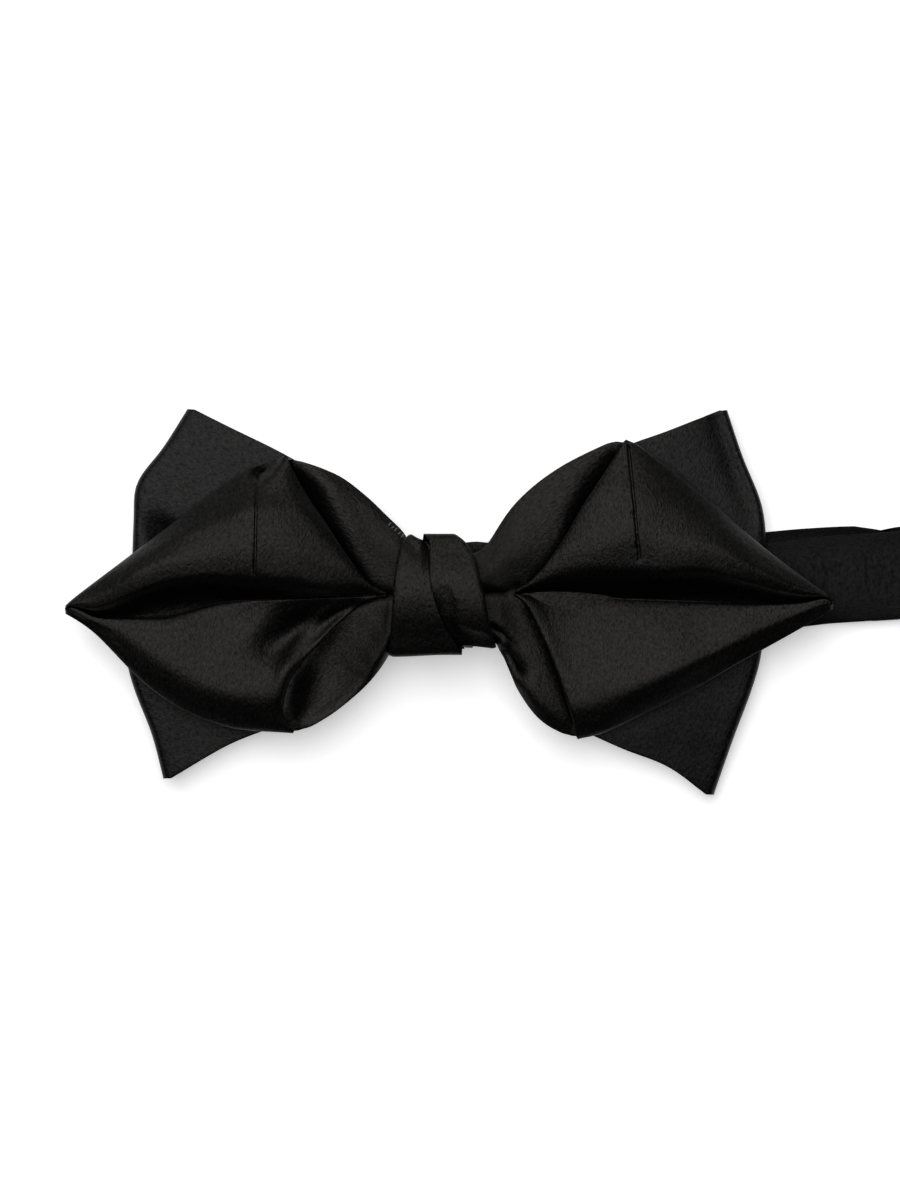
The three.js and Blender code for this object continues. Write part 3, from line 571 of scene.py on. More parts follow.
def strip_surface(wing, rows, extra, upper, lower):
    edges = {
        "low": (path(wing["band_bottom"]), path(wing["fold_bottom"])),
        "high": (path(wing["band_top"]), path(wing["fold_top"])),
    }
    valley = path(wing["valley"])
    height = heights(STRIP_ACROSS, rows)
    rise = folds(extra)

    def side(name, u):
        near, far = edges[name]
        t = max(u - 1, 0)
        inward = (valley(t) - far(t)).normalized() if t < 1 else Vector((-math.copysign(1, far(1).x), 0))
        inward *= fold_radius(t)
        return near(u) + inward * ease((u - 0.9) / 0.1) if u < 1 else far(t) + inward

    def place(u, v):
        point = side("low", u).lerp(side("high", u), v).to_3d()
        point.z = height(u, v)
        if u < HIDDEN_FROM:
            point.z += rise(point.x, point.y) * ease(v / RIM_SHARE) * ease((1 - v) / RIM_SHARE)
            point.z = max(point.z, mix(CLEAR_AT_KNOT, CLEAR_BEYOND, ease((u - 0.75) / 0.25)))
        if u >= 1:
            low, high = lower(u - 1, 1.0), upper(u - 1, 1.0)
            if v in (0, 1):
                return high if v else low
            point.z += (low.z - height(u, 0)) * ease(1 - v / SEAT_SHARE)
            point.z += (high.z - height(u, 1)) * ease(1 - (1 - v) / SEAT_SHARE)
        return point

    return place


print("the strip's back stays above", CLEAR_BEYOND, "mm")

# %% [markdown]
# Each wing is three grids, two flaps and the strip. Rows stand closer together at the open edge, at the tip and
# round the fold, where the cloth bends most. The satin's warp runs at its own slant on each flap.

# %% Front bow: the wings
def spread(low, high, count):
    """Even values after low, up to high."""
    return [low + (high - low) * i / count for i in range(1, count + 1)]


ALONG_FLAP = [0, 0.004, 0.01, 0.018] + spread(0.018, 0.92, 76) + spread(0.92, 0.982, 11) + spread(0.982, 1, 6)
ACROSS_FLAP = [0] + spread(0, 1 - TURN_SHARE, 42) + spread(1 - TURN_SHARE, 1, 6)
ALONG_STRIP = [i / 52 for i in range(52)] + [1 + t for t in ALONG_FLAP]
ACROSS_STRIP = steps(46, 0.5)
STRIP_LENGTH, STRIP_WIDTH = 30, 36  # mm of cloth from the knot to the flaps, and across


def front_wing(bm, wing, tables, extra, roll, degrees):
    """Adds one wing. Roll is how far each flap's open edge rolls down, and degrees is the slant of its warp."""
    upper = flap_surface(wing, "fold_top", "inner_top", UPPER_ACROSS, tables["upper"], "crest", extra["flaps"],
                         roll["upper"])
    lower = flap_surface(wing, "fold_bottom", "inner_bottom", LOWER_ACROSS, tables["lower"], "ridge", extra["flaps"],
                         roll["lower"])
    strip = strip_surface(wing, tables["strip"], extra["strip"], upper, lower)
    verts = add_sheet(bm, ALONG_FLAP, ACROSS_FLAP, upper, in_plan(degrees["upper"]))
    verts += add_sheet(bm, ALONG_FLAP, ACROSS_FLAP, lower, in_plan(degrees["lower"]))
    verts += add_sheet(bm, ALONG_STRIP, ACROSS_STRIP, strip,
                       lambda u, v, point: Vector((u * STRIP_LENGTH, v * STRIP_WIDTH)))
    soften(bm, verts)


front = bmesh.new()
front_wing(
    front, LEFT_WING, dict(upper=LEFT_UPPER_FLAP, lower=LEFT_LOWER_FLAP, strip=LEFT_STRIP),
    dict(flaps=LEFT_FLAP_FOLDS, strip=LEFT_STRIP_FOLDS), dict(upper=0.3, lower=0.6), dict(upper=62, lower=84),
)
front_wing(
    front, RIGHT_WING, dict(upper=RIGHT_UPPER_FLAP, lower=RIGHT_LOWER_FLAP, strip=RIGHT_STRIP),
    dict(flaps=[], strip=RIGHT_STRIP_FOLDS), dict(upper=0.3, lower=0.5), dict(upper=82, lower=88),
)
print("front bow: grids of", len(ALONG_FLAP), "by", len(ACROSS_FLAP), "for a flap")

# %% [markdown]
# A seam runs down each upper flap, where the strip's two ends are sewn together. It is cut into the mesh as a narrow
# gutter: four cuts by upright planes along the seam's line, and the cloth between the middle two pulled down.

# %% Front bow: seams of the upper flaps
SEAM_HALF_WIDTH, SEAM_DEPTH = 0.3, 0.32
SEAM_CUTS = (-1, -0.35, 0.35, 1)  # where the planes stand, in half widths
SEAM_STRETCH, SEAM_FLOOR = 1.2, 7.9  # mm of cloth beside the seam that it moves, and the strip lies below this level
EASE_OUT = 0.8  # mm in which the cloth beside the seam falls back


def sew(bm, start, end, lift_left=0.0):
    line = Vector(end) - Vector(start)
    across = Vector((-line.y, line.x)).normalized()

    def offset(point):
        return (point.xy / MM - Vector(start)).dot(across)

    def beside(face):
        centre = face.calc_center_median()
        along = (centre.xy / MM - Vector(start)).dot(line) / line.length_squared
        return -0.03 < along < 1 and abs(offset(centre)) < SEAM_STRETCH and centre.z > SEAM_FLOOR * MM

    for share in SEAM_CUTS:
        near = [face for face in bm.faces if beside(face)]
        around = near + list({edge for face in near for edge in face.edges})
        around += list({vert for face in near for vert in face.verts})
        place = (Vector(start) + across * SEAM_HALF_WIDTH * share).to_3d() * MM
        bmesh.ops.bisect_plane(bm, geom=around, dist=0.00001 * MM, plane_co=place, plane_no=across.to_3d())
    sewn = {v for face in bm.faces if beside(face) for v in face.verts}
    for vert in sewn:
        away = offset(vert.co)
        vert.co.z -= SEAM_DEPTH * MM * (abs(away) < SEAM_HALF_WIDTH * 0.5)
        vert.co.z += lift_left * MM * math.exp(-max(away, 0) / EASE_OUT) * (away > SEAM_HALF_WIDTH * 0.5)
    print("seam of", round(line.length, 1), "mm,", len(sewn), "vertices")


sew(front, (30.4, 24.6), (32.1, 6.2))
sew(front, (-31.1, 19.6), (-31.4, 3.8), lift_left=0.12)

# %% [markdown]
# The tips are pinched so narrow that the cloth's full wall has no room in them. A vertex group tells Solidify how
# much of the wall each place gets, so the wall thins out over the last few millimetres.

# %% Front bow: the finished cloth
PINCH_LENGTH, PINCHED_WALL = 2.5, 0.25  # mm, and the share of the wall that is left at the very tip
front_bow = finish_sheet("front_bow_cloth", front, 0.8)
pinch = front_bow.vertex_groups.new(name="wall")
for vert in front_bow.data.vertices:
    tip = TIPS["right"] if vert.co.x > 0 else -TIPS["left"]
    pinch.add([vert.index], ease((tip - abs(vert.co.x) / MM) / PINCH_LENGTH), "REPLACE")
front_bow.modifiers["cloth"].vertex_group = "wall"
front_bow.modifiers["cloth"].thickness_vertex_group = PINCHED_WALL
print("thinned at the tips:", sum(v.groups[0].weight < 1 for v in front_bow.data.vertices), "vertices")

# %% [markdown]
# The back bow is a loop of the same satin pressed flat, with its two ends turned and its waist gathered under the
# knot. A ribbon that goes once round, joined to itself, is exactly that. Its plan is given by sections, each with its
# place along the bow, its top and its bottom, and by the line of its end, from the lower corner to the upper one.

# %% Back bow: edges, levels and folds, in mm
BACK_RIGHT = dict(
    sections=[
        (0, 8.6, -7.2),
        (5.0, 9.2, -7.1),
        (8.4, 9.1, -7.2),
        (10.4, 11.0, -10.0),
        (15.2, 15.6, -16.2),
        (20.7, 19.7, -20.9),
        (29, 24.6, -25.0),
        (37, 27.6, -28.2),
    ],
    end=[
        (43.4, -32.8), (46.8, -23.0), (49.6, -15.5), (51.2, -9.8), (51.8, 0),
        (52.0, 10.4), (51.3, 15.4), (48.2, 23.2), (45.6, 31.0),
    ],
)
BACK_LEFT = dict(
    sections=[
        (0, 7.2, -7.2),
        (-6.2, 7.3, -7.2),
        (-8.8, 11.2, -7.3),
        (-10.2, 12.9, -9.0),
        (-14.6, 17.0, -13.3),
        (-20.4, 20.2, -18.0),
        (-28, 24.4, -21.4),
        (-35.6, 28.1, -24.4),
    ],
    end=[
        (-45.5, -30.1), (-47.4, -22.8), (-50.4, -15.0), (-51.5, -10.6),
        (-50.8, 2.0), (-50.4, 13.0), (-50.0, 18.6), (-45.6, 24.7),
        (-41.6, 31.1),
    ],
)
REAR_LEVEL, FRONT_LEVEL = 3.25, 5.3  # middle of each layer at the ends
REAR_IN_KNOT, FRONT_IN_KNOT = 5.15, 6.35
LAYER_GAP = 0.85  # a dent of the front layer presses the rear one down, and never goes through it
CORNER_SINK = {("left", "top"): 2.6, ("left", "bottom"): 1.0, ("right", "top"): 1.2, ("right", "bottom"): 2.0}
SETTLE_AT, SETTLE_SHARE = (0, 0.16, 0.4, 0.6, 1), (0, 0, 0.3, 1, 1)  # how the layers settle out of the knot
END_SINK, END_SINK_FROM = 0.5, 0.72  # the right end lies lower, from this share of the way out
BACK_FOLDS = [
    dict(line=[(-49.0, 12.4), (-46.8, 10.6), (-44.6, 8.6)], width=[1.2, 1.7, 2.0], rise=[-1.0, -2.6, -2.4]),
    dict(line=[(45.6, 29.6), (48.0, 22.0), (51.4, 13.0)], width=[1.4, 1.7, 1.5], rise=[-0.8, -0.9, -0.5]),
    dict(line=[(2.0, 5.8), (6.0, 6.2), (9.6, 7.8)], width=1.0, rise=-0.4),
]
print("back bow:", len(BACK_LEFT["sections"]), "sections on each side")

# %% [markdown]
# The two layers and the turns at the ends are one surface. One direction, u, goes once round the loop, and the other
# goes from the bottom edge to the top edge. The corners droop, and a dent in the front layer presses the rear one.

# %% Back bow: the loop
def back_plan(side):
    bottom = [(x, low) for x, _, low in side["sections"]] + side["end"][:1]
    top = [(x, high) for x, high, _ in side["sections"]] + side["end"][-1:]
    return patch(path(bottom), path(top), end=path(side["end"]))


back_plans = dict(left=back_plan(BACK_LEFT), right=back_plan(BACK_RIGHT))
back_rise = folds(BACK_FOLDS)


def back_surface(u, v):
    """u goes once round: to 1 along the front layer, to 2 round the right end, to 3 back, and to 4 round the left."""
    rear_part = 2 <= u <= 3
    if u <= 1:
        place = 2 * u - 1
    elif u < 2:
        place = 1
    elif rear_part:
        place = 5 - 2 * u
    else:
        place = -1
    side = "left" if place < 0 else "right"
    out = abs(place)
    point = back_plans[side](out, v)
    settled = smooth(SETTLE_AT, SETTLE_SHARE, out)
    rear = mix(REAR_IN_KNOT, REAR_LEVEL, settled)
    front_z = mix(FRONT_IN_KNOT, FRONT_LEVEL, settled)
    sink = CORNER_SINK[side, "top" if v > 0.5 else "bottom"] * abs(2 * v - 1) ** 2 * out ** 3
    if side == "right":
        sink += END_SINK * ease((out - END_SINK_FROM) / (1 - END_SINK_FROM)) ** 2
    radius = (front_z - rear) / 2
    if u <= 1 or rear_part:
        dented = front_z + back_rise(point.x, point.y)
        z = min(rear, dented - LAYER_GAP) if rear_part else dented
        return point.to_3d() + Vector((0, 0, z - sink))
    angle = math.pi * (0.5 - (u - 1)) if u < 2 else math.pi * (0.5 - (u - 3))
    outward = 1 if u < 2 else -1
    lift = outward * math.sin(angle) * radius
    return Vector((point.x + outward * radius * math.cos(angle), point.y, (rear + front_z) / 2 + lift - sink))


BACK_WARP = dict(left=in_plan(-25), right=in_plan(78))


def back_grain(u, v, point):
    return BACK_WARP["left" if point.x < 0 else "right"](u, v, point)


run = steps(96)
turn = [i / 8 for i in range(1, 8)]
around = run + [1 + t for t in turn] + [2 + t for t in run] + [3 + t for t in turn] + [4]
back = bmesh.new()
soften(back, add_sheet(back, around, steps(60, 0.4), lambda u, v: back_surface(u % 4, v), back_grain))
back_bow = finish_sheet("back_bow_cloth", back, 0.7, offset=0)

# %% [markdown]
# The knot is a wide band of satin wrapped round the waist of both bows, with one pleat that slants across it. A
# section of the wrap is a rounded box. Across it, the cloth runs to the pleat, turns back under itself and comes out
# again one cloth lower.

# %% Knot: section and edges, in mm
KNOT_SECTION = [  # (y, z) once round: from the middle of the back by the bottom, the front and the top
    (0, 1.35), (-8.0, 1.45), (-9.0, 2.8), (-9.6, 8.0), (-9.9, 11.4), (-9.75, 12.1), (-9.2, 12.5), (-6.2, 13.5),
    (-2.8, 14.5), (0.4, 14.8), (3.6, 14.4), (7.0, 13.2), (9.9, 12.0), (10.4, 11.5), (10.45, 10.6), (10.2, 8.0),
    (9.6, 2.8), (8.6, 1.45), (0, 1.35),
]
KNOT_EDGES = table(
    ("y", "left", "pleat", "gap", "right"),
    (-10, -9.3, 3.1, 0.5, 8.5),
    (-8.5, -9.2, 2.2, 0.3, 8.3),
    (-6, -9.0, 0.6, 0.2, 7.7),
    (-3, -8.8, -0.8, 0.16, 7.1),
    (0, -8.6, -1.8, 0.14, 6.6),
    (3, -8.4, -2.4, 0.14, 5.9),
    (6, -8.0, -2.5, 0.2, 5.3),
    (8.5, -7.3, -2.6, 0.45, 3.9),
    (9.6, -6.8, -3.1, 0.7, 3.0),
    (10.4, -6.2, -4.0, 0.9, 2.1),
)
PLEAT_STEP, GROOVE = 0.9, 0.5  # mm from one cloth to the one below it, and below both in the pleat
SWAP_AT, SWAP_OVER = 3, 6  # the cloths change places at this height on the front, over this distance
LEFT_REACH, RIGHT_REACH = 1.8, (2.6, 10)  # mm in which a cloth comes up again beside the pleat
RIGHT_SHORTER, LEFT_SHORTER = 0.9, 0.3  # the cloths' lower turns end this much higher
RIM_WIDTH, RIM_DROP = 0.8, 0.3  # the wrap's edges turn down
LEFT_DENTS = folds([dict(line=[(-5.9, 9.2), (-4.6, 7.6)], width=1.0, rise=-0.3)])
RIGHT_DENTS = folds([
    dict(line=[(-0.6, 2.2), (0.2, 0.6), (0.8, -1.4), (1.4, -3.6)], width=[0.7, 1.0, 1.1, 1.0],
         rise=[-0.1, -0.45, -0.55, -0.3]),
])
print("knot:", len(KNOT_SECTION), "points round,", len(KNOT_EDGES), "places for its edges")

# %% [markdown]
# The wrap is one grid round the section. Across it come the left cloth, the bottom of the pleat and the right cloth.
# In the upper half the left cloth lies below, and in the lower half the right one does.

# %% Knot: the wrap
KNOT_ACROSS = [(i / 18, "left") for i in range(19)] + [(0, "pleat"), (1, "pleat")]
KNOT_ACROSS += [(i / 22, "right") for i in range(23)]
KNOT_ROUND = 62  # mm of cloth once round
knot_section = path(KNOT_SECTION)


def knot_edge(name, y):
    return smooth([row["y"] for row in KNOT_EDGES], [row[name] for row in KNOT_EDGES], y)


def knot_surface(u, v):
    share, part = KNOT_ACROSS[int(v)]
    y_out, z_out = knot_section(u)
    left, pleat, gap, right = (knot_edge(name, y_out) for name in ("left", "pleat", "gap", "right"))
    left_below = PLEAT_STEP * ease((y_out - SWAP_AT) / SWAP_OVER)
    right_below = PLEAT_STEP * ease((SWAP_AT - y_out) / SWAP_OVER)
    if part == "left":
        x = mix(left, pleat - gap / 2, share)
        inset = left_below * ease(1 - (pleat - x) / LEFT_REACH) - LEFT_DENTS(x, y_out)
    elif part == "pleat":
        x = pleat + (share - 0.5) * gap * 0.6
        inset = max(left_below, right_below) + GROOVE
    else:
        x = mix(pleat + gap / 2, right, share)
        reach = mix(*RIGHT_REACH, ease((-3.5 - y_out) / 5))
        inset = right_below * (1 - ease((x - pleat) / reach)) - RIGHT_DENTS(x, y_out)
    if part != "pleat":
        inset += RIM_DROP * max(0, 1 - min(abs(x - left), abs(x - right)) / RIM_WIDTH) ** 2
    ahead = knot_section((u + 0.004) % 1) - knot_section((u - 0.004) % 1)
    inward = Vector((ahead.y, -ahead.x)).normalized()
    y, z = knot_section(u) + inward * inset * ease((z_out - 1.2) / 2)
    shorter = RIGHT_SHORTER if part == "right" else LEFT_SHORTER * ease((x + 8) / 8)
    return Vector((x, y + shorter * ease((-y_out - 4.5) / 5), z))


knot_bm = bmesh.new()
add_sheet(knot_bm, steps(150), list(range(len(KNOT_ACROSS))), lambda u, v: knot_surface(u % 1, v),
          lambda u, v, point: Vector((u * KNOT_ROUND, point.x)))
knot = finish_sheet("knot_cloth", knot_bm, 0.4)

# %% [markdown]
# The neck band is a flat ribbon, folded and sewn double. It goes through the knot, turns back behind the left wing,
# runs right on the table under everything, turns in an open bend where the neck goes, and comes back over itself to
# the clasp. Its route is the route of its CAD solid. A rounded flat section moved along the route makes it.

# %% Neck band: measures, in mm
BAND_WIDTH, BAND_GATHERED, BAND_THICKNESS = 15.2, 13.4, 1.0
BAR_WRAP, CLASP_LEVEL, BAR_OFFSET, TAIL, CLASP_X = 1.6, 3.5, 5.0, 13, 112
REAR_TURN_X, NECK_BEND_X, NECK_BEND_HEIGHT = -18, 160, 16
LOWER_LEVEL, UPPER_LEVEL, LEVEL_IN_KNOT = 0.5, 1.85, 3.8
UPPER_RUN = table(
    ("x", "y", "z", "width"),
    (REAR_TURN_X, -0.2, 2.5, BAND_GATHERED),
    (-9, -0.2, LEVEL_IN_KNOT, BAND_GATHERED),
    (10, -0.2, LEVEL_IN_KNOT, BAND_GATHERED),
    (22, 0.0, 2.2, BAND_WIDTH),
    (36, 0.3, UPPER_LEVEL, BAND_WIDTH),
    (53, 1.6, UPPER_LEVEL, 14.6),
    (59, 2.3, UPPER_LEVEL, 14.6),
    (63, 2.8, UPPER_LEVEL, 14.6),
    (69, 3.2, UPPER_LEVEL, 14.6),
    (76, 3.7, UPPER_LEVEL, 14.6),
    (86, 4.9, 2.4, BAND_WIDTH),
    (97, 5.9, 4.1, BAND_WIDTH),
    (CLASP_X - BAR_OFFSET, 6.8, CLASP_LEVEL + BAR_WRAP, BAND_WIDTH),
)
LOWER_RUN = table(
    ("x", "y"),
    (REAR_TURN_X, -0.2), (10, 1.0), (40, 2.4), (53.4, 3.2), (60, 3.8), (68.5, 4.2), (70.4, 3.8), (72.6, 3.5),
    (76, 4.1), (86, 5.0), (120, 7.9), (NECK_BEND_X, 11.4),
)
FAR_RUN = table(
    ("x", "y", "z"),
    (CLASP_X + BAR_OFFSET, 7.7, CLASP_LEVEL + BAR_WRAP),
    (128, 8.7, 6.2),
    (144, 10.0, 10.6),
    (NECK_BEND_X, 11.4, LOWER_LEVEL + NECK_BEND_HEIGHT),
)


CLASP_LEAN = math.atan2(FAR_RUN[0]["y"] - UPPER_RUN[-1]["y"], 2 * BAR_OFFSET)
print("neck band: clasp at", CLASP_X, "mm, bend at", NECK_BEND_X, "mm")

# %% [markdown]
# The route starts at the ribbon's near tail, under the clasp's near bar, and ends at its far tail. Straight runs
# follow the tables, and each turn is an arc.

# %% Neck band: the route
STEP_ABOVE, STEP_BELOW = 1.5, 2  # mm from station to station in the bunched upper run, and in the others


def along_run(rows, name, x):
    return smooth([row["x"] for row in rows], [row[name] for row in rows], x)


def lean_of(rows, x):
    return math.atan2(along_run(rows, "y", x + 1) - along_run(rows, "y", x - 1), 2)


def band_route():
    """The band's stations: middle of the section, its lean in plan and its width."""
    stations = []

    def add(x, y, z, lean, width=BAND_WIDTH):
        stations.append((Vector((x, y, z)), lean, width))

    def bend(x, y, z, lean, radius, start, stop, count):
        for i in range(count + 1):
            angle = mix(start, stop, i / count)
            out = radius * math.cos(angle)
            add(x + out * math.cos(lean), y + out * math.sin(lean), z + radius * math.sin(angle), lean)

    near, far = UPPER_RUN[-1], FAR_RUN[0]
    half = math.pi / 2
    for back_by in (TAIL, 2 * TAIL / 3, TAIL / 3):
        x = near["x"] - back_by
        add(x, along_run(UPPER_RUN, "y", x), CLASP_LEVEL - BAR_WRAP, CLASP_LEAN)
    bend(near["x"], near["y"], CLASP_LEVEL, CLASP_LEAN, BAR_WRAP, -half, half, 10)
    x = near["x"] - STEP_ABOVE
    while x > REAR_TURN_X + 1:
        z, width = along_run(UPPER_RUN, "z", x), along_run(UPPER_RUN, "width", x)
        add(x, along_run(UPPER_RUN, "y", x), z, lean_of(UPPER_RUN, x), width)
        x -= STEP_ABOVE
    radius = (UPPER_RUN[0]["z"] - LOWER_LEVEL) / 2
    bend(REAR_TURN_X, LOWER_RUN[0]["y"], LOWER_LEVEL + radius, 0, radius, half, 3 * half, 8)
    x = REAR_TURN_X + STEP_BELOW
    while x < NECK_BEND_X - 1:
        add(x, along_run(LOWER_RUN, "y", x), LOWER_LEVEL, lean_of(LOWER_RUN, x))
        x += STEP_BELOW
    radius = NECK_BEND_HEIGHT / 2
    bend(NECK_BEND_X, LOWER_RUN[-1]["y"], LOWER_LEVEL + radius, CLASP_LEAN, radius, -half, half, 20)
    x = NECK_BEND_X - STEP_BELOW
    while x > far["x"] + 1:
        add(x, along_run(FAR_RUN, "y", x), along_run(FAR_RUN, "z", x), CLASP_LEAN)
        x -= STEP_BELOW
    bend(far["x"], far["y"], CLASP_LEVEL, CLASP_LEAN, BAR_WRAP, half, 3 * half, 10)
    for back_by in (TAIL / 3, 2 * TAIL / 3, TAIL):
        x = far["x"] + back_by
        add(x, along_run(FAR_RUN, "y", x), CLASP_LEVEL - BAR_WRAP, CLASP_LEAN)
    return stations


route = band_route()
route_length = [0]
for (here, _, _), (there, _, _) in zip(route, route[1:]):
    route_length.append(route_length[-1] + (there - here).length)
print("neck band:", len(route), "stations,", round(route_length[-1]), "mm long")

# %% [markdown]
# The ribbon's section is a flat oval with full sides. At each station it stands across the route and leans with it.
# The top edge of the run on the table curls up a little beside the bow, where the photograph shows a thin line of it.

# %% Neck band: the ribbon
BAND_SECTION = 44  # points round the flat section
FLATNESS, SIDE_FULLNESS = 0.35, 0.6  # powers that turn the oval into a ribbon with rounded sides
RIM_CURL, CURL_STARTS = 0.13, 5.4  # the curl grows with the square of the distance beyond this place, in mm
CURL_FROM_X, CURL_EASE = 46, 6
REAR_SHIFT = 40  # mm by which the weave of the ribbon's rear side is shifted on the flat cloth


def band_surface(u, v):
    middle, lean, width = route[int(u)]
    before, after = route[max(int(u) - 1, 0)][0], route[min(int(u) + 1, len(route) - 1)][0]
    ahead = (after - before).normalized()
    across = Vector((-math.sin(lean), math.cos(lean), 0))
    out = across.cross(ahead).normalized()
    angle = 2 * math.pi * (v % BAND_SECTION) / BAND_SECTION
    flat = math.copysign(abs(math.cos(angle)) ** FLATNESS, math.cos(angle))
    thick = math.copysign(abs(math.sin(angle)) ** SIDE_FULLNESS, math.sin(angle))
    curl = 0
    if middle.z == LOWER_LEVEL:
        curl = RIM_CURL * max(flat * width / 2 - CURL_STARTS, 0) ** 2 * ease((middle.x - CURL_FROM_X) / CURL_EASE)
    return middle + across * flat * width / 2 + out * thick * BAND_THICKNESS / 2 + Vector((0, 0, curl))


def band_grain(u, v, point):
    angle = 2 * math.pi * v / BAND_SECTION
    shift = REAR_SHIFT if v > BAND_SECTION / 2 else 0
    return Vector((route_length[int(u)], BAND_WIDTH * (1 + math.cos(angle)) / 2 + shift))


band_bm = bmesh.new()
add_sheet(band_bm, list(range(len(route))), list(range(BAND_SECTION + 1)), band_surface, band_grain)
bmesh.ops.remove_doubles(band_bm, verts=band_bm.verts[:], dist=0.001 * MM)
bmesh.ops.holes_fill(band_bm, edges=band_bm.edges[:], sides=0)
bmesh.ops.recalc_face_normals(band_bm, faces=band_bm.faces[:])
neck_band = as_piece("neck_band_ribbon", band_bm)

# %% [markdown]
# A material is a small network of nodes. One function adds a node with its settings and links, and one turns the hex
# value of a colour, as a picture editor shows it, into the linear numbers that a shader takes.

# %% Materials: helpers
def linear(hex_colour):
    values = [int(hex_colour[i:i + 2], 16) / 255 for i in (1, 3, 5)]
    return [v / 12.92 if v <= 0.04045 else ((v + 0.055) / 1.055) ** 2.4 for v in values] + [1]


def node(material, kind, settings=None, inputs=None, links=None):
    """Adds a node: settings are its own values, inputs set its sockets, and links join sockets to other nodes."""
    made = material.node_tree.nodes.new(kind)
    for name, value in (settings or {}).items():
        setattr(made, name, value)
    for name, value in (inputs or {}).items():
        made.inputs[name].default_value = value
    for name, (source, output) in (links or {}).items():
        material.node_tree.links.new(source.outputs[output], made.inputs[name])
    return made


def new_material(name):
    material = bpy.data.materials.new(name)
    material.use_nodes = True
    material.node_tree.nodes.clear()
    return material


def shade(material, inputs, links=None):
    """Ends a material with its shader."""
    shader = node(material, "ShaderNodeBsdfPrincipled", inputs=inputs, links=links)
    node(material, "ShaderNodeOutputMaterial", links={"Surface": (shader, "BSDF")})


print("mid grey in linear light:", round(linear("#808080")[0], 3))

# %% [markdown]
# Satin is a weave in which long floats of polyester thread lie side by side on the front. The floats give it a soft
# sheen that is stretched across the threads, and the fine streaks between them give it a grain. The black dye takes
# nearly all the light that goes in, so only the sheen is seen. The weave's real thread spacing is about 0.1 mm,
# which is too fine to show, so it is drawn over twice as coarse.

# %% Materials: satin
THREAD = 0.24  # mm from thread to thread, over twice the real spacing
FLOAT_LENGTH = 0.55  # mm, drawn as much coarser
CRINKLE = 0.6  # mm from one fine crinkle of the face to the next
CRUMPLE = 9  # mm from one soft crumple to the next
CRINKLE_STRETCH = 0.7  # crinkles are longer along the floats
CRUMPLE_DEPTH, FLOAT_DEPTH = 0.3, 0.05  # mm of bump
CRINKLE_SHARE = 0.3  # how much of the uneven shine comes from the crinkle, and the rest from the floats
SHINE = {"From Min": 0.32, "From Max": 0.68, "To Min": 0.35, "To Max": 1.2}
ROUGHNESS_SPAN = 0.1


def satin_material(name, hex_colour, tint, specular, roughness, crinkle_depth):
    """Black polyester satin. The long floats run along the first direction of the UV map, which is in mm."""
    material = new_material(name)
    uv = node(material, "ShaderNodeUVMap")

    def noise(along, across, **inputs):
        """Noise on the flat cloth, from its sizes in mm along the floats and across them."""
        place = node(material, "ShaderNodeMapping", inputs={"Scale": (1 / along, 1 / across, 1)},
                     links={"Vector": (uv, "UV")})
        return node(material, "ShaderNodeTexNoise", {"noise_dimensions": "2D"}, {"Scale": 1.0, **inputs},
                    {"Vector": (place, "Vector")})

    floats = noise(FLOAT_LENGTH, THREAD, Detail=2.0, Roughness=0.65)
    crinkle = noise(CRINKLE / CRINKLE_STRETCH, CRINKLE, Detail=1.0, Distortion=0.4)
    crumple = noise(CRUMPLE, CRUMPLE, Detail=1.0)
    bumps = None
    for texture, depth in ((crumple, CRUMPLE_DEPTH), (crinkle, crinkle_depth), (floats, FLOAT_DEPTH)):
        links = {"Height": (texture, "Fac")}
        if bumps:
            links["Normal"] = (bumps, "Normal")
        bumps = node(material, "ShaderNodeBump", inputs={"Strength": 1.0, "Distance": depth * MM}, links=links)
    uneven = node(material, "ShaderNodeMix", {"data_type": "FLOAT"}, {"Factor": CRINKLE_SHARE},
                  {"A": (floats, "Fac"), "B": (crinkle, "Fac")})
    level = node(material, "ShaderNodeMapRange", inputs=SHINE, links={"Value": (uneven, "Result")})
    tinted = node(material, "ShaderNodeVectorMath", {"operation": "SCALE"}, {0: tint}, {"Scale": (level, "Result")})
    rough = node(material, "ShaderNodeMapRange",
                 inputs={"To Min": roughness - ROUGHNESS_SPAN, "To Max": roughness + ROUGHNESS_SPAN},
                 links={"Value": (floats, "Fac")})
    shade(material, {"Base Color": linear(hex_colour), "Specular IOR Level": specular, "IOR": 1.5},
          {"Specular Tint": (tinted, "Vector"), "Roughness": (rough, "Result"), "Normal": (bumps, "Normal")})
    return material


WARM, NEUTRAL = (1.0, 0.95, 0.91), (1.0, 0.97, 0.96)
satin = satin_material("black_polyester_satin", "#010101", WARM, 0.19, 0.42, 0.06)
flat_satin = satin_material("pressed_polyester_satin", "#010101", NEUTRAL, 0.2, 0.46, 0.05)
ribbon = satin_material("black_satin_ribbon", "#010101", NEUTRAL, 0.125, 0.5, 0.03)
for piece, look in ((front_bow, satin), (back_bow, flat_satin), (knot, satin), (neck_band, ribbon)):
    piece.data.materials.append(look)
    print(piece.name, "is", look.name)

# %% [markdown]
# A few tacking stitches join the two bows at the knot's upper left corner. Each shows as a pale loop of sewing thread
# over the edge of the satin: a small ring, cut to an arch by spinning its section only half way round.

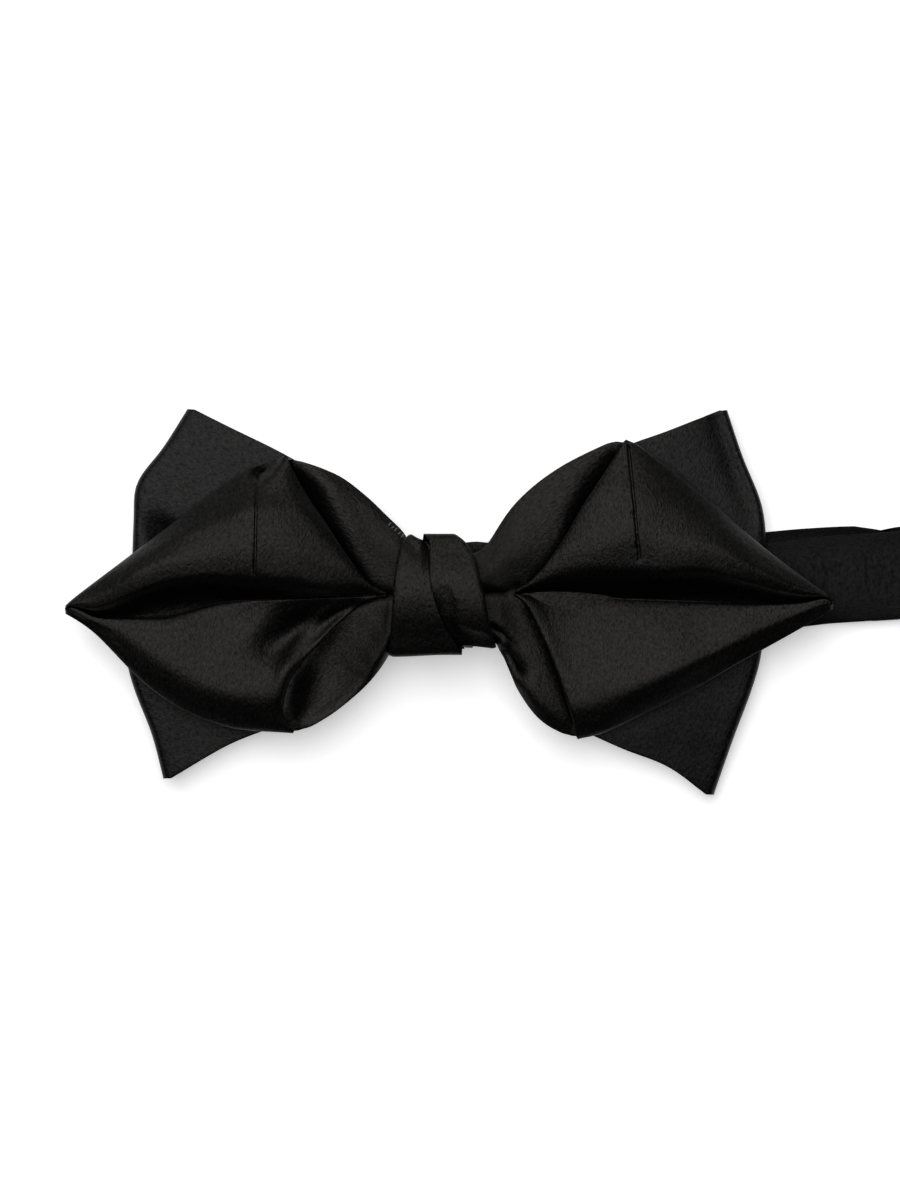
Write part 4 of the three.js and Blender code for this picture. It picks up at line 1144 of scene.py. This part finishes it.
# %% Stitches
THREAD_RADIUS, LOOP_RADIUS, STITCH_LEVEL, STITCH_SLANT = 0.13, 0.5, 8.5, 45
STITCHES = [(-6.7, 9.3, 0), (-7.2, 9.9, 14), (-7.75, 10.4, -10), (-8.3, 10.95, 8), (-8.85, 11.4, -16), (-9.3, 11.9, 6)]
UPRIGHT = Matrix.Rotation(math.pi / 2, 3, "X")
stitch_bm = bmesh.new()
for x, y, turned in STITCHES:
    section = bmesh.ops.create_circle(stitch_bm, segments=8, radius=THREAD_RADIUS * MM, cap_ends=True)["verts"]
    bmesh.ops.rotate(stitch_bm, verts=section, cent=(0, 0, 0), matrix=UPRIGHT)
    bmesh.ops.translate(stitch_bm, verts=section, vec=(LOOP_RADIUS * MM, 0, 0))
    faces = list({face for vert in section for face in vert.link_faces})
    bmesh.ops.spin(stitch_bm, geom=faces, cent=(0, 0, 0), axis=(0, 0, 1), angle=math.pi, steps=10)
    loop = [vert for vert in stitch_bm.verts if not vert.tag]
    slant = Matrix.Rotation(math.radians(STITCH_SLANT + turned), 3, "Z")
    bmesh.ops.rotate(stitch_bm, verts=loop, cent=(0, 0, 0), matrix=UPRIGHT)
    bmesh.ops.rotate(stitch_bm, verts=loop, cent=(0, 0, 0), matrix=slant)
    bmesh.ops.translate(stitch_bm, verts=loop, vec=(x * MM, y * MM, STITCH_LEVEL * MM))
    for vert in loop:
        vert.tag = True
bmesh.ops.recalc_face_normals(stitch_bm, faces=stitch_bm.faces[:])
stitches = as_piece("tacking_stitches", stitch_bm)
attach(stitches, "root")

# %% [markdown]
# Sewing thread is two plies twisted together, which gives it a slanted ripple. It is polyester, dull and grey. The
# clasp is pressed steel under black enamel: smooth, and glossier than the cloth.

# %% Materials: thread and enamel
TWIST_SCALE = 900.0  # ripples of the thread about 0.7 mm apart
thread = new_material("grey_sewing_thread")
twist_place = node(thread, "ShaderNodeTexCoord")
twist = node(thread, "ShaderNodeTexWave", {"bands_direction": "DIAGONAL"}, {"Scale": TWIST_SCALE},
             {"Vector": (twist_place, "Object")})
twist_bump = node(thread, "ShaderNodeBump", inputs={"Strength": 0.6, "Distance": 0.05 * MM},
                  links={"Height": (twist, "Fac")})
shade(thread, {"Base Color": linear("#4E4D4C"), "Roughness": 0.7, "IOR": 1.5}, {"Normal": (twist_bump, "Normal")})
stitches.data.materials.append(thread)

enamel = new_material("black_enamelled_steel")
shade(enamel, {"Base Color": linear("#0C0C0D"), "Roughness": 0.3, "IOR": 1.5})
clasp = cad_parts["band_clasp"]
clasp.data.materials.clear()
clasp.data.materials.append(enamel)
print("the clasp is", enamel.name, "and the stitches are", thread.name)

# %% [markdown]
# Each new piece rides on the one rigid body and stands for its CAD solid, which is hidden.

# %% What the pieces stand for
for piece, solid, slot in (
    (front_bow, "front_bow", "satin"),
    (back_bow, "back_bow", "satin"),
    (knot, "knot", "satin"),
    (neck_band, "neck_band", "band_satin"),
):
    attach(piece, "root")
    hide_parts(solid)

print("declared:", front_bow.name, back_bow.name, knot.name, neck_band.name)

# %% [markdown]
# The tie lies on white paper. Its own faint glow keeps the paper as even a white as the photograph's, and leaves the
# soft shadows beside the cloth.

# %% Paper
PAPER_LEVEL = -0.2  # mm, just clear of the band
GLOW = 0.4
paper_bm = bmesh.new()
bmesh.ops.create_grid(paper_bm, x_segments=1, y_segments=1, size=3)
paper_sheet = as_piece("table", paper_bm)
paper_sheet.data.transform(Matrix.Translation((0, 0, PAPER_LEVEL * MM)))
paper = new_material("white_paper")
shade(paper, {"Base Color": linear("#F6F6F6"), "Roughness": 0.8, "Specular IOR Level": 0.2,
              "Emission Color": (1, 1, 1, 1), "Emission Strength": GLOW})
paper_sheet.data.materials.append(paper)

# %% [markdown]
# One large soft box hangs above the tie, towards the top of the picture and a little to the left. Cloth that faces
# it shines. Cloth that leans towards the viewer's side reflects the dark room.

# %% Lights
def soft_box(name, place, aim, size, power):
    light_data = bpy.data.lights.new(name, "AREA")
    light_data.shape = "RECTANGLE"
    light_data.size, light_data.size_y = size
    light_data.energy = power
    light = bpy.data.objects.new(name, light_data)
    light.location = place
    light.rotation_euler = (Vector(aim) - Vector(place)).to_track_quat("-Z", "Y").to_euler()
    bpy.context.scene.collection.objects.link(light)
    return light


soft_box("key_soft_box", (-0.14, 0.28, 0.85), (0, 0.0, 0), (0.95, 1.0), 9.5)
soft_box("far_wall", (0.0, 1.5, 0.7), (0, 0, 0), (2.2, 1.2), 4.5)
ROOM_LIGHT = 0.01
world = bpy.data.worlds.new("dark_room")
world.use_nodes = True
world.node_tree.nodes["Background"].inputs["Color"].default_value = (1, 1, 1, 1)
world.node_tree.nodes["Background"].inputs["Strength"].default_value = ROOM_LIGHT
bpy.context.scene.world = world
bpy.context.scene.view_settings.view_transform = "Standard"
print("lights:", [light.name for light in bpy.data.lights])
